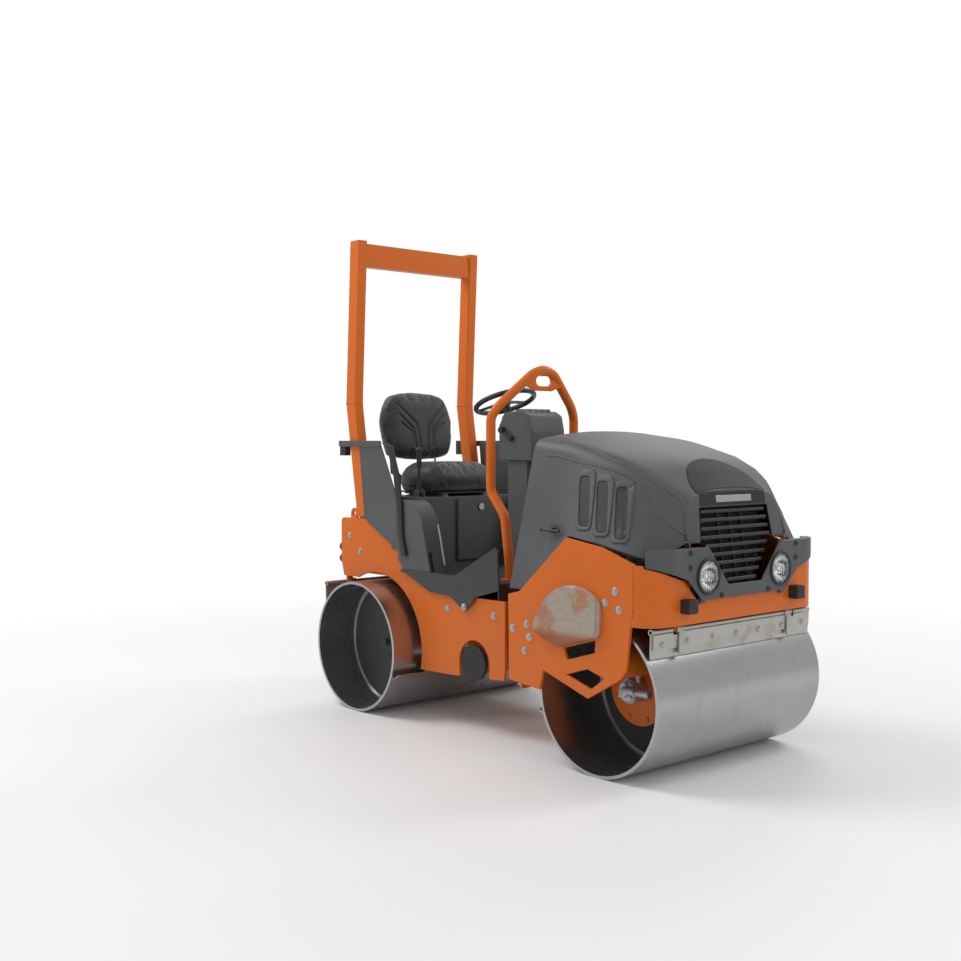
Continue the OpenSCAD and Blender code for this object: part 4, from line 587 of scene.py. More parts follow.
@dataclass
class Studio:
    """The pale floor, the soft lights and the camera at the photograph's place."""

    floor_size: float = 60.0
    floor_colour: Colour = (0.9, 0.9, 0.9)
    sky: float = 0.62
    key_power: float = 230.0
    fill_power: float = 30.0
    rim_power: float = 60.0
    drum_power: float = 110.0
    fade_start: float = 2.2
    fade_end: float = 6.0

    def build(self) -> None:
        """Makes all of it."""
        self.lay_floor()
        self.hang_lights()
        self.set_world()
        self.place_camera()
        bpy.context.scene.view_settings.view_transform = "Standard"

    def lay_floor(self) -> None:
        """Lays the floor, which looks white to the camera and keeps its shadow."""
        bpy.ops.mesh.primitive_plane_add(size=self.floor_size, location=(0, 0, 0))
        floor = bpy.context.object
        floor.name = "studio_floor"
        g = Graph("studio_floor")
        cloud = g.noise(0.4, 2.0)
        colour = g.mix(cloud, self.floor_colour, tuple(c * 0.985 for c in self.floor_colour))
        x, y = g.axis("X"), g.axis("Y")
        far = ((x * x + y * y) ** 0.5).span(self.fade_start, self.fade_end)
        seen = g.node("ShaderNodeLightPath", {}, {}, "Is Camera Ray")
        white = g.node("ShaderNodeEmission", {}, {"Color": (1.0, 1.0, 1.0), "Strength": 1.0})
        matte = Value(g, g.shader.outputs[0])
        both = g.node("ShaderNodeMixShader", {}, {0: far * seen, 1: matte, 2: white})
        g.tree.links.new(both.socket, g.tree.nodes["Material Output"].inputs["Surface"])
        floor.data.materials.append(g.shade(Base_Color=colour, Roughness=0.55))

    def hang_lights(self) -> None:
        """Hangs a key, a fill, a rim light and the soft box that the front drum mirrors."""
        lights = (
            ("key_light", (-3.6, -3.2, 6.4), 3.2, self.key_power),
            ("fill_light", (6.5, -1.5, 3.2), 4.0, self.fill_power),
            ("rim_light", (-2.5, 5.5, 5.5), 3.0, self.rim_power),
            ("drum_light", (2.9, 5.2, 5.4), 2.2, self.drum_power),
        )
        for name, place, size, power in lights:
            data = bpy.data.lights.new(name, "AREA")
            data.size = size
            data.energy = power
            lamp = bpy.data.objects.new(name, data)
            lamp.location = place
            aim = Vector((0.1, 0.0, 0.8)) - Vector(place)
            lamp.rotation_euler = aim.to_track_quat("-Z", "Y").to_euler()
            bpy.context.scene.collection.objects.link(lamp)

    def set_world(self) -> None:
        """Sets a plain world, white to the camera."""
        world = bpy.data.worlds.new("studio_world")
        bpy.context.scene.world = world
        world.use_nodes = True
        nodes, links = world.node_tree.nodes, world.node_tree.links
        light = nodes["Background"]
        light.inputs["Color"].default_value = (1.0, 1.0, 1.0, 1.0)
        light.inputs["Strength"].default_value = self.sky
        white = nodes.new("ShaderNodeBackground")
        white.inputs["Color"].default_value = (1.0, 1.0, 1.0, 1.0)
        path = nodes.new("ShaderNodeLightPath")
        both = nodes.new("ShaderNodeMixShader")
        links.new(path.outputs["Is Camera Ray"], both.inputs[0])
        links.new(light.outputs[0], both.inputs[1])
        links.new(white.outputs[0], both.inputs[2])
        links.new(both.outputs[0], nodes["World Output"].inputs["Surface"])

    def place_camera(self) -> None:
        """Places the camera where the photograph was taken from."""
        data = bpy.data.cameras.new("camera")
        data.sensor_width = SENSOR
        data.lens = FOCAL_PIXELS / IMAGE_SIDE * SENSOR
        data.clip_end = 200.0
        camera = bpy.data.objects.new("camera", data)
        camera.location = CAMERA_PLACE
        flat = math.cos(CAMERA_DIP)
        aim = Vector(
            (-math.cos(CAMERA_TURN) * flat, math.sin(CAMERA_TURN) * flat, -math.sin(CAMERA_DIP))
        )
        camera.rotation_euler = aim.to_track_quat("-Z", "Y").to_euler()
        bpy.context.scene.collection.objects.link(camera)
        bpy.context.scene.camera = camera


@dataclass
class Finishes:
    """All of the roller's finishes by the name of their slot, and what each node takes."""

    made: dict[str, bpy.types.Material] = field(default_factory=dict)

    def build(self) -> None:
        """Makes every material once."""
        orange = (0.68, 0.142, 0.01)
        kinds = (
            Paint("orange_paint", orange, (0.3, 0.09, 0.03), 0.38, 0.14),
            Plastic("dark_plastic", (0.084, 0.087, 0.091), 0.5, 330.0, 0.00025),
            Paint("dark_paint", (0.05, 0.052, 0.055), (0.16, 0.16, 0.165), 0.42, 0.15),
            Plastic("black_plastic", (0.016, 0.016, 0.018), 0.42, 400.0, 0.0002, 0.12),
            Paint("black_paint", (0.018, 0.018, 0.02), (0.12, 0.12, 0.12), 0.36, 0.2),
            Rubber("rubber", (0.016, 0.016, 0.017), 0.62),
            SeatCover("seat_cover", (0.022, 0.023, 0.025)),
            Metal("bare_steel", (0.47, 0.46, 0.43), (0.3, 0.2, 0.13), 0.36, 300.0, 0.0002),
            Metal("cast_metal", (0.52, 0.52, 0.53), (0.3, 0.29, 0.27), 0.46, 210.0, 0.0005, 0.75),
            LampGlass("lamp_glass"),
            Plastic("red_plastic", (0.5, 0.012, 0.012), 0.25, 300.0, 0.00005, 0.1),
            CoverMetal("cover_metal", -0.648, 0.61),
        )
        for kind in kinds:
            self.made[kind.name] = kind.build()

    def dress(self, frame: dict[str, Any]) -> None:
        """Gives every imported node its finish.

        Args:
            frame: What the frame holds, with its nodes by name.
        """
        for name, node in frame["nodes"].items():
            for place, slot in enumerate(node.material_slots):
                finish = self.made.get(slot.material.name.split(".")[0])
                if finish is None:
                    log.warning("%s has no finish for %s", name, slot.material.name)
                    continue
                node.data.materials[place] = finish


class Bench:
    """Modelling steps that the pieces share."""

    @staticmethod
    def clear() -> None:
        """Deselects everything and leaves edit mode."""
        if bpy.context.mode != "OBJECT":
            bpy.ops.object.mode_set(mode="OBJECT")
        bpy.ops.object.select_all(action="DESELECT")

    @classmethod
    def hold(cls, piece: bpy.types.Object) -> None:
        """Selects one object alone and makes it active.

        Args:
            piece: The object.
        """
        cls.clear()
        piece.select_set(True)
        bpy.context.view_layer.objects.active = piece

    @classmethod
    def block(cls, name: str, low: Sequence[float], high: Sequence[float]) -> bpy.types.Object:
        """A block from one corner to the other, a start for other shapes.

        Args:
            name: The piece's name.
            low: Its lowest corner.
            high: Its highest corner.

        Returns:
            The object, with its place in its mesh.
        """
        cls.clear()
        middle = [(a + b) / 2 for a, b in zip(low, high)]
        size = [b - a for a, b in zip(low, high)]
        bpy.ops.mesh.primitive_cube_add(size=1.0, location=middle, scale=size)
        return cls.named(name)

    @classmethod
    def rod(
        cls, name: str, start: Sequence[float], end: Sequence[float], radius: float, sides: int = 32
    ) -> bpy.types.Object:
        """A round rod between two points, a start for other shapes.

        Args:
            name: The piece's name.
            start: The middle of one end.
            end: The middle of the other end.
            radius: Its radius.
            sides: How many sides it has.

        Returns:
            The object, with its place in its mesh.
        """
        cls.clear()
        first, last = Vector(start), Vector(end)
        along = last - first
        bpy.ops.mesh.primitive_cylinder_add(
            vertices=sides, radius=radius, depth=along.length, location=(first + last) / 2
        )
        rod = bpy.context.object
        rod.rotation_euler = along.to_track_quat("Z", "Y").to_euler()
        return cls.named(name)

    @classmethod
    def named(cls, name: str) -> bpy.types.Object:
        """Names the active object and puts its place into its mesh.

        Args:
            name: Its name.

        Returns:
            The object.
        """
        piece = bpy.context.object
        piece.name = name
        piece.data.name = name
        bpy.ops.object.transform_apply(location=True, rotation=True, scale=True)
        return piece

    @classmethod
    def pick(
        cls, piece: bpy.types.Object, faces: Callable[[Any], bool] | None = None,
        edges: Callable[[Any], bool] | None = None,
    ) -> None:
        """Enters edit mode with only the faces or edges that pass a test selected.

        Args:
            piece: The piece.
            faces: The test that a face has to pass, where faces are wanted.
            edges: The test that an edge has to pass, where edges are wanted.
        """
        cls.hold(piece)
        bpy.ops.object.mode_set(mode="EDIT")
        bpy.ops.mesh.select_mode(type="FACE" if faces else "EDGE")
        bpy.ops.mesh.select_all(action="DESELECT")
        mesh = bmesh.from_edit_mesh(piece.data)
        for part in mesh.faces if faces else mesh.edges:
            part.select_set(bool((faces or edges)(part)))
        mesh.select_flush_mode()
        bmesh.update_edit_mesh(piece.data)

    @classmethod
    def bevel(
        cls, piece: bpy.types.Object, width: float, segments: int = 2, angle: float = 32.0,
        limit: Limit = Limit.ANGLE,
    ) -> None:
        """Rounds a piece's edges.

        Args:
            piece: The piece.
            width: How wide the rounding is.
            segments: How many faces it has across.
            angle: Past how many degrees an edge is rounded, where the angle decides.
            limit: What decides.
        """
        cls.hold(piece)
        step = piece.modifiers.new("rounding", "BEVEL")
        step.width = width
        step.segments = segments
        step.limit_method = limit.value
        step.angle_limit = math.radians(angle)
        step.use_clamp_overlap = False
        bpy.ops.object.modifier_apply(modifier=step.name)

    @classmethod
    def smooth(cls, piece: bpy.types.Object, angle: float = 35.0) -> None:
        """Shades a piece smooth up to an angle."""
        cls.hold(piece)
        bpy.ops.object.shade_smooth_by_angle(angle=math.radians(angle))

    @classmethod
    def outward(cls, piece: bpy.types.Object) -> None:
        """Merges doubles and turns every face outwards.

        Args:
            piece: The piece.
        """
        cls.hold(piece)
        bpy.ops.object.mode_set(mode="EDIT")
        bpy.ops.mesh.select_all(action="SELECT")
        bpy.ops.mesh.remove_doubles(threshold=MERGE)
        bpy.ops.mesh.normals_make_consistent(inside=False)
        bpy.ops.object.mode_set(mode="OBJECT")

    @classmethod
    def copies(cls, piece: bpy.types.Object, places: Iterable[Sequence[float]]) -> None:
        """Copies a piece's mesh to each place, moved from where it stands, as one mesh.

        Args:
            piece: The piece, which becomes all of its copies.
            places: How far each is moved.
        """
        cls.hold(piece)
        whole = bmesh.new()
        for place in places:
            part = piece.data.copy()
            part.transform(Matrix.Translation(Vector(place)))
            whole.from_mesh(part)
            bpy.data.meshes.remove(part)
        whole.to_mesh(piece.data)
        whole.free()

    @classmethod
    def join(cls, name: str, parts: Sequence[bpy.types.Object]) -> bpy.types.Object:
        """Joins pieces into one.

        Args:
            name: The whole's name.
            parts: The pieces.

        Returns:
            The whole.
        """
        cls.clear()
        for part in parts:
            part.select_set(True)
        bpy.context.view_layer.objects.active = parts[0]
        bpy.ops.object.join()
        parts[0].name = name
        parts[0].data.name = name
        return parts[0]

    @classmethod
    def spun(
        cls, name: str, profile: Sequence[tuple[float, float]], place: Sequence[float],
        along: Sequence[float], steps: int = 48,
    ) -> bpy.types.Object:
        """A shape turned round an axis.

        Args:
            name: The piece's name.
            profile: Its outline, each point a place along the axis and a radius.
            place: A point on the axis, where the outline's zero is.
            along: The axis's direction.
            steps: How many steps one turn has.

        Returns:
            The object.
        """
        cls.clear()
        bpy.ops.mesh.primitive_plane_add(size=1.0)
        piece = bpy.context.object
        bpy.ops.object.mode_set(mode="EDIT")
        mesh = bmesh.from_edit_mesh(piece.data)
        bmesh.ops.delete(mesh, geom=mesh.verts[:], context="VERTS")
        line = [mesh.verts.new((radius, 0.0, at)) for at, radius in profile]
        for first, last in zip(line, line[1:]):
            mesh.edges.new((first, last))
        bmesh.update_edit_mesh(piece.data)
        bpy.ops.mesh.select_all(action="SELECT")
        bpy.ops.mesh.spin(
            steps=steps, angle=2 * math.pi, center=(0, 0, 0), axis=(0, 0, 1), use_auto_merge=True
        )
        bpy.ops.object.mode_set(mode="OBJECT")
        piece.rotation_euler = Vector(along).to_track_quat("Z", "Y").to_euler()
        piece.location = place
        cls.named(name)
        cls.outward(piece)
        return piece

    @classmethod
    def bead(
        cls, name: str, path: Sequence[Sequence[float]], radius: float, closed: bool = True,
        sides: int = 2,
    ) -> bpy.types.Object:
        """A round bead laid along a path.

        Args:
            name: The piece's name.
            path: The points that it follows.
            radius: Its radius.
            closed: Whether it comes back to its start.
            sides: The curve's bevel resolution.

        Returns:
            The object, as a mesh.
        """
        cls.clear()
        data = bpy.data.curves.new(name, "CURVE")
        data.dimensions = "3D"
        data.bevel_depth = radius
        data.bevel_resolution = sides
        data.use_fill_caps = not closed
        line = data.splines.new("POLY")
        line.points.add(len(path) - 1)
        for point, place in zip(line.points, path):
            point.co = (*place, 1.0)
        line.use_cyclic_u = closed
        piece = bpy.data.objects.new(name, data)
        bpy.context.scene.collection.objects.link(piece)
        cls.hold(piece)
        bpy.ops.object.convert(target="MESH")
        piece = bpy.context.object
        cls.outward(piece)
        return piece


@dataclass
class Shop:
    """Where pieces get their finish and their body."""

    frame: dict[str, Any]
    finishes: Finishes

    def hand_in(
        self, piece: bpy.types.Object, body: str, slot: str, *nodes: str, angle: float = 35.0,
        finish: bpy.types.Material | None = None,
    ) -> bpy.types.Object:
        """Finishes a piece and puts it on its body.

        Args:
            piece: The piece.
            body: The body that it rides on.
            slot: The record's material slot that it takes its finish from.
            nodes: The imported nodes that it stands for.
            angle: Up to which angle it is shaded smooth.
            finish: Its material, where it isn't the slot's own.

        Returns:
            The piece.
        """
        Bench.smooth(piece, angle)
        piece.data.materials.clear()
        piece.data.materials.append(finish or self.finishes.made[slot])
        for face in piece.data.polygons:
            face.material_index = 0
        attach(piece, body)
        if nodes:
            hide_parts(*nodes)
        log.info("piece %s on %s: %d faces", piece.name, body, len(piece.data.polygons))
        return piece


@dataclass
class RoundedCasting:
    """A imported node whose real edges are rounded, which stands for it."""

    node: str
    width: float
    segments: int = 2
    angle: float = 32.0
    spared: tuple[tuple[float, ...], ...] = ()
    flat_angle: float = 0.6
    stray_share: float = 0.6

    def weigh(self, piece: bpy.types.Object) -> None:
        """Marks the edges to round: all that are sharp, but not those in the spared boxes.

        Args:
            piece: The merged copy of the node.
        """
        mesh = bmesh.new()
        mesh.from_mesh(piece.data)
        layer = mesh.edges.layers.float.new("bevel_weight_edge")
        for edge in mesh.edges:
            middle = (edge.verts[0].co + edge.verts[1].co) / 2
            kept = any(x0 < middle.x < x1 and z0 < middle.z < z1 for x0, x1, z0, z1 in self.spared)
            sharp = len(edge.link_faces) == 2 and edge.calc_face_angle() > math.radians(self.angle)
            edge[layer] = float(sharp and not kept)
        mesh.to_mesh(piece.data)
        mesh.free()

    def shape(self, piece: bpy.types.Object) -> None:
        """Shapes the merged copy further before its edges are rounded."""

    def build(self, shop: Shop) -> None:
        """Copies the node's mesh, merges it, rounds its edges and draws strays back onto it.

        Args:
            shop: Where pieces are handed in.
        """
        source = shop.frame["nodes"][self.node]
        body = source["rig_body"]
        slot = source.data.materials[0].name.split(".")[0]
        piece = bpy.data.objects.new(f"{self.node}_shaped", source.data.copy())
        bpy.context.scene.collection.objects.link(piece)
        Bench.hold(piece)
        bpy.ops.object.mode_set(mode="EDIT")
        bpy.ops.mesh.select_all(action="SELECT")
        bpy.ops.mesh.remove_doubles(threshold=MERGE)
        bpy.ops.mesh.dissolve_limited(angle_limit=math.radians(self.flat_angle))
        bpy.ops.object.mode_set(mode="OBJECT")
        self.shape(piece)
        Bench.hold(piece)
        bpy.ops.object.mode_set(mode="EDIT")
        bpy.ops.mesh.select_all(action="SELECT")
        bpy.ops.mesh.quads_convert_to_tris()
        bpy.ops.object.mode_set(mode="OBJECT")
        if piece.data.has_custom_normals:
            bpy.ops.mesh.customdata_custom_splitnormals_clear()
        before = bmesh.new()
        before.from_mesh(piece.data)
        tree = BVHTree.FromBMesh(before)
        before.free()
        if self.spared:
            self.weigh(piece)
        limit = Limit.WEIGHT if self.spared else Limit.ANGLE
        Bench.bevel(piece, self.width, self.segments, self.angle, limit)
        for vert in piece.data.vertices:
            spot, _, _, far = tree.find_nearest(vert.co)
            if far > self.width * self.stray_share:
                vert.co = spot
        shop.hand_in(piece, body, slot, self.node, finish=source.data.materials[0])
        Bench.hold(piece)
        flat = piece.modifiers.new("large_faces_first", "WEIGHTED_NORMAL")
        flat.keep_sharp = True
        bpy.ops.object.modifier_apply(modifier=flat.name)


@dataclass
class RollFrame:
    """The weld seams of the roll frame, at its knees, its feet and under its top bar."""

    half_width: float = 0.45
    post_width: float = 0.06
    knee_x: tuple[float, float] = (-1.206, -1.12)
    knee_z: float = 1.72
    foot_x: tuple[float, float] = (-1.102, -1.018)
    foot_z: float = 1.0825
    bar_x: tuple[float, float] = (-1.154, -1.088)
    bar_z: tuple[float, float] = (2.505, 2.635)
    bead_r: float = 0.0032
    step: float = 0.006
    wander: float = 0.0006

    def loop(self, corners: Sequence[Sequence[float]]) -> list[Vector]:
        """Points along a closed path, in small steps with a welder's slight wander.

        Args:
            corners: The path's corners.

        Returns:
            The points.
        """
        points: list[Vector] = []
        for first, last in zip(corners, [*corners[1:], corners[0]]):
            start, end = Vector(first), Vector(last)
            count = max(2, round((end - start).length / self.step))
            for i in range(count):
                wave = self.wander * math.sin(2.3 * len(points))
                points.append(start.lerp(end, i / count) + Vector((wave, wave / 2, wave)))
        return points

    def build(self, shop: Shop) -> None:
        """Lays the seams.

        Args:
            shop: Where pieces are handed in.
        """
        beads = []
        for side in (-1, 1):
            outer, inner = side * self.half_width, side * (self.half_width - self.post_width)
            for (low, high), z in ((self.knee_x, self.knee_z), (self.foot_x, self.foot_z)):
                corners = [(low, outer, z), (high, outer, z), (high, inner, z), (low, inner, z)]
                beads.append(Bench.bead("seam", self.loop(corners), self.bead_r))
            (low, high), (under, over) = self.bar_x, self.bar_z
            corners = [
                (low, inner, under), (high, inner, under), (high, inner, over), (low, inner, over)
            ]
            beads.append(Bench.bead("seam", self.loop(corners), self.bead_r))
        shop.hand_in(Bench.join("roll_frame_seams", beads), "rear_module", "orange_paint")


@dataclass
class DashPod(RoundedCasting):
    """The dash, with its head rounded off and four ridges over it."""

    half_width: float = 0.122
    head_z: float = 1.4
    head_r: float = 0.06
    slack: float = 0.0005
    ridge_ys: tuple[float, ...] = (-0.066, -0.022, 0.022, 0.066)
    ridge_r: float = 0.013
    ridge_path: tuple[tuple[float, float], ...] = (
        (-0.2, 1.641), (-0.153, 1.663), (-0.062, 1.663), (-0.016, 1.575), (-0.002, 1.47)
    )

    def shape(self, piece: bpy.types.Object) -> None:
        """Rounds the long edges of the head.

        Args:
            piece: The merged copy of the dash.
        """
        side = self.half_width - self.slack
        Bench.pick(
            piece,
            edges=lambda e: len(e.link_faces) == 2
            and all(abs(v.co.y) > side and v.co.z > self.head_z for v in e.verts)
            and e.link_faces[0].normal.dot(e.link_faces[1].normal) < 0.9,
        )
        bpy.ops.mesh.bevel(offset=self.head_r, segments=6, affect="EDGES", clamp_overlap=True)
        bpy.ops.object.mode_set(mode="OBJECT")

    def build(self, shop: Shop) -> None:
        """Makes the dash and lays its ridges.

        Args:
            shop: Where pieces are handed in.
        """
        super().build(shop)
        ridges = []
        for y in self.ridge_ys:
            path = [(x, y, z) for x, z in self.ridge_path]
            ridges.append(Bench.bead("ridge", path, self.ridge_r, closed=False, sides=4))
        shop.hand_in(Bench.join("dash_ridges", ridges), "rear_module", "dark_plastic", angle=60.0)


@dataclass
class HoodSwages:
    """Raised lines pressed into the sides and front corners of the hood."""

    lines: tuple[tuple[tuple[float, float], ...], ...] = SWAGE_LINES
    radius: float = 0.0065
    sunk: float = 0.0025
    step: float = 0.02
    reach: float = 0.12
    eases: int = 3

    def laid(self, line: Sequence[tuple[float, float]], tree: BVHTree) -> list[Vector]:
        """Points of one line on the hood's right side, close together.

        Args:
            line: The line's points, along and up.
            tree: The hood.

        Returns:
            The points.
        """
        points: list[Vector] = []
        for (x0, z0), (x1, z1) in zip(line, line[1:]):
            count = max(2, round(math.hypot(x1 - x0, z1 - z0) / self.step))
            for i in range(count + 1):
                share = i / count
                origin = Vector((x0 + (x1 - x0) * share, -1.0, z0 + (z1 - z0) * share))
                spot, normal, _, _ = tree.ray_cast(origin, Vector((0, 1, 0)))
                if spot is not None and (not points or (spot - points[-1]).length < self.reach):
                    points.append(spot - normal * self.sunk)
        for _ in range(self.eases):
            for i in range(1, len(points) - 1):
                points[i] = (points[i - 1] + points[i] * 2 + points[i + 1]) / 4
        return points

    def build(self, shop: Shop, hood: bpy.types.Object) -> None:
        """Lays every line on both sides.

        Args:
            shop: Where pieces are handed in.
            hood: The hood with its rounded edges.
        """
        tree = BVHTree.FromObject(hood, bpy.context.evaluated_depsgraph_get())
        beads = []
        for line in self.lines:
            points = self.laid(line, tree)
            for side in (1, -1):
                path = [(p.x, p.y * side, p.z) for p in points]
                beads.append(Bench.bead("swage", path, self.radius, closed=False, sides=4))
        shop.hand_in(Bench.join("hood_swages", beads), "hood", "dark_plastic", angle=60.0)


@dataclass
class SideTrims:
    """The flat bars before the side panels, and bright metal beads down the fenders' front edges
    that are a painted highlight of those edges.
    """

    bar_low: tuple[tuple[float, float], ...] = (
        (-0.8, 1.494), (-0.742, 1.48), (-0.678, 1.318), (-0.652, 1.155), (-0.644, 0.99),
        (-0.612, 0.878),
    )
    bar_width: float = 0.046
    bar_y: tuple[float, float] = (-0.478, -0.464)
    # The fenders' painted highlight beads: their place across, their ends up, their radius and
    # their steps
    highlight_y: float = -0.352
    highlight_z: tuple[float, float] = (1.05, 0.835)
    highlight_r: float = 0.0055
    highlight_steps: int = 12

    def build(self, shop: Shop) -> None:
        """Makes both on each side.

        Args:
            shop: Where pieces are handed in.
        """
        bars = []
        for side in (1, -1):
            outline = list(self.bar_low) + [(x - self.bar_width, z) for x, z in self.bar_low[::-1]]
            mesh = bpy.data.meshes.new("panel_bar")
            y0, y1 = sorted(side * y for y in self.bar_y)
            count = len(outline)
            verts = [(x, y0, z) for x, z in outline] + [(x, y1, z) for x, z in outline]
            faces = [list(range(count)), list(range(2 * count - 1, count - 1, -1))]
            for i in range(count):
                after = (i + 1) % count
                faces.append([i, after, after + count, i + count])
            mesh.from_pydata(verts, [], faces)
            bar = bpy.data.objects.new("panel_bar", mesh)
            bpy.context.scene.collection.objects.link(bar)
            Bench.outward(bar)
            Bench.bevel(bar, 0.003, 3, 40.0)
            bars.append(bar)
        shop.hand_in(Bench.join("side_panel_bars", bars), "rear_module", "black_plastic")
        # Bright metal beads down the fenders' front edges: a painted highlight where those edges
        # catch the light
        panels = bpy.data.objects["side_panels_shaped"]
        tree = BVHTree.FromObject(panels, bpy.context.evaluated_depsgraph_get())
        highlight_beads = []
        for side in (1, -1):
            path = []
            for i in range(self.highlight_steps + 1):
                z = self.highlight_z[0] + (self.highlight_z[1] - self.highlight_z[0]) * i / self.highlight_steps
                spot = tree.ray_cast(Vector((0.2, side * self.highlight_y, z)), Vector((-1, 0, 0)))[0]
                if spot is not None:
                    path.append(spot)
            highlight_beads.append(Bench.bead("highlight_bead", path, self.highlight_r, closed=False, sides=3))
        shop.hand_in(Bench.join("fender_painted_highlights", highlight_beads), "rear_module", "cast_metal", angle=60.0)


@dataclass
class MotorFittings:
    """The ports, hoses' unions and hexagons on the tail of each drum motor."""

    axle_x: float = 0.92
    axle_z: float = 0.36
    tail_y: float = -0.386
    flange: tuple[tuple[float, float], ...] = (
        (-0.002, 0.0), (-0.002, 0.046), (0.004, 0.05), (0.01, 0.05), (0.014, 0.045),
        (0.014, 0.028), (0.014, 0.0),
    )
    nut_seat: float = 0.012
    union_out: float = 0.024
    union_rise: tuple[float, float] = (0.006, 0.01)
    nuts: tuple[tuple[float, ...], ...] = (
        (0.0, 0.0, 0.026, 0.03), (0.0, 0.034, 0.01, 0.016), (0.03, -0.02, 0.01, 0.016),
        (-0.03, -0.02, 0.01, 0.016),
    )
    unions: tuple[tuple[float, ...], ...] = (
        (0.0, 0.06, 0.021), (0.06, 0.072, 0.027), (0.072, 0.15, 0.019)
    )

    def build(self, shop: Shop) -> None:
        """Makes them for one drum and turns a copy for the other.

        Args:
            shop: Where pieces are handed in.
        """
        for sign, node in ((1, "front_drum_motor"), (-1, "rear_drum_motor")):
            x, y, z = self.axle_x, self.tail_y, self.axle_z
            parts = [Bench.spun("port_flange", self.flange, (x, y, z), (0, -1, 0), 40)]
            for dx, dz, radius, length in self.nuts:
                start, end = (x + dx, y, z + dz), (x + dx, y - self.nut_seat - length, z + dz)
                nut = Bench.rod("nut", start, end, radius, 6)
                Bench.bevel(nut, 0.0015, 2)
                parts.append(nut)
            out, (low, high) = y - self.union_out, self.union_rise
            for near, far, radius in self.unions:
                ends = (x + near, out, z + low), (x + far, out, z + high)
                rod = Bench.rod("union", *ends, radius, 28)
                Bench.bevel(rod, 0.002, 2)
                parts.append(rod)
            whole = Bench.join(f"{node}_fittings", parts)
            if sign < 0:
                whole.data.transform(Matrix.Rotation(math.pi, 4, "Z"))
            shop.hand_in(whole, shop.frame["nodes"][node]["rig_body"], "cast_metal")


@dataclass
class LeverDress:
    """The drive lever's folded boot and its thick grip."""

    x: float = -0.709
    y: float = -0.306
    foot_z: float = 1.206
    top_z: float = 1.471
    folds: int = 6
    fold: float = 0.012
    boot_r: float = 0.025
    taper: float = 0.0026
    waist_share: float = 0.84
    neck_z: float = 0.074
    neck_r: float = 0.0085
    grip: tuple[tuple[float, float], ...] = (
        (-0.115, 0.0), (-0.115, 0.0115), (-0.105, 0.0135), (-0.06, 0.0145), (-0.035, 0.0155),
        (-0.015, 0.0175), (-0.003, 0.0135), (0.0, 0.006), (0.0, 0.0),
    )

    def build(self, shop: Shop) -> None:
        """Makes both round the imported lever.

        Args:
            shop: Where pieces are handed in.
        """
        boot = []
        for k in range(self.folds):
            z, r = self.fold * k, self.boot_r - self.taper * k
            boot += [(z, r * self.waist_share), (z + self.fold / 2, r)]
        boot = [(0.0, 0.0), *boot, (self.neck_z, self.neck_r), (self.neck_z, 0.0)]
        high = self.top_z - self.foot_z
        grip = [(high + z, r) for z, r in self.grip]
        place = (self.x, self.y, self.foot_z)
        parts = [Bench.spun(name, line, place, (0, 0, 1), 28) for name, line in
                 (("lever_boot", boot), ("lever_grip", grip))]
        body = shop.frame["nodes"]["drive_lever"]["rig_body"]
        shop.hand_in(Bench.join("drive_lever_dress", parts), body, "rubber", angle=50.0)


@dataclass
class PanelScrews:
    """Dark button heads that hold the headlight panel."""

    face_x: float = 1.283
    places: tuple[tuple[float, float], ...] = ((0.391, 0.954), (0.391, 1.02), (0.173, 0.82))
    radius: float = 0.0135
    dome: tuple[tuple[float, float], ...] = (
        (-0.002, 0.0), (-0.002, 1.0), (0.002, 1.0), (0.005, 0.8), (0.0065, 0.45), (0.004, 0.4),
        (0.004, 0.0),
    )

    def build(self, shop: Shop) -> None:
        """Makes a screw at each place on both sides.

        Args:
            shop: Where pieces are handed in.
        """
        dome = [(out, self.radius * share) for out, share in self.dome]
        screw = Bench.spun("panel_screws", dome, (self.face_x, 0, 0), (1, 0, 0), 20)
        Bench.copies(screw, [(0, side * y, z) for y, z in self.places for side in (-1, 1)])
        shop.hand_in(screw, "front_module", "black_plastic")


@dataclass
class FloorStuds:
    """Raised studs on the step and floor, so that boots don't slip."""

    low: tuple[float, float] = (-0.62, -0.44)
    high: tuple[float, float] = (0.1, 0.44)
    pitch: float = 0.03
    radius: float = 0.0065
    height: float = 0.003
    clear: float = 0.012
    from_z: float = 1.15
    least_up: float = 0.99

    def on_floor(self, spot: Sequence[Any]) -> bool:
        """Whether what a plumb line met is the level floor."""
        return spot[0] and spot[4].name == "operator_platform" and spot[2].z > self.least_up

    def build(self, shop: Shop) -> None:
        """Puts a stud wherever plumb lines round it meet the floor first.

        Args:
            shop: Where pieces are handed in.
        """
        down, d = Vector((0, 0, -1)), self.clear
        scene = bpy.context.scene
        layer = bpy.context.evaluated_depsgraph_get()
        places = []
        rows = int((self.high[1] - self.low[1]) / self.pitch)
        for i in range(int((self.high[0] - self.low[0]) / self.pitch)):
            for j in range(rows + 1):
                x = self.low[0] + self.pitch * (i + 0.5 * (j % 2))
                y = self.low[1] + self.pitch * j
                spots = []
                for dx, dy in ((0, 0), (d, 0), (-d, 0), (0, d), (0, -d)):
                    origin = Vector((x + dx, y + dy, self.from_z))
                    spots.append(scene.ray_cast(layer, origin, down))
                if all(self.on_floor(spot) for spot in spots):
                    places.append((x, y, spots[0][1].z))
        profile = [
            (-0.0005, self.radius), (self.height * 0.55, self.radius * 0.86),
            (self.height, self.radius * 0.45), (self.height * 1.02, 0.0),
        ]
        stud = Bench.spun("floor_studs", profile, (0, 0, 0), (0, 0, 1), 10)
        Bench.copies(stud, places)
        shop.hand_in(stud, "rear_module", "dark_paint", angle=50.0)


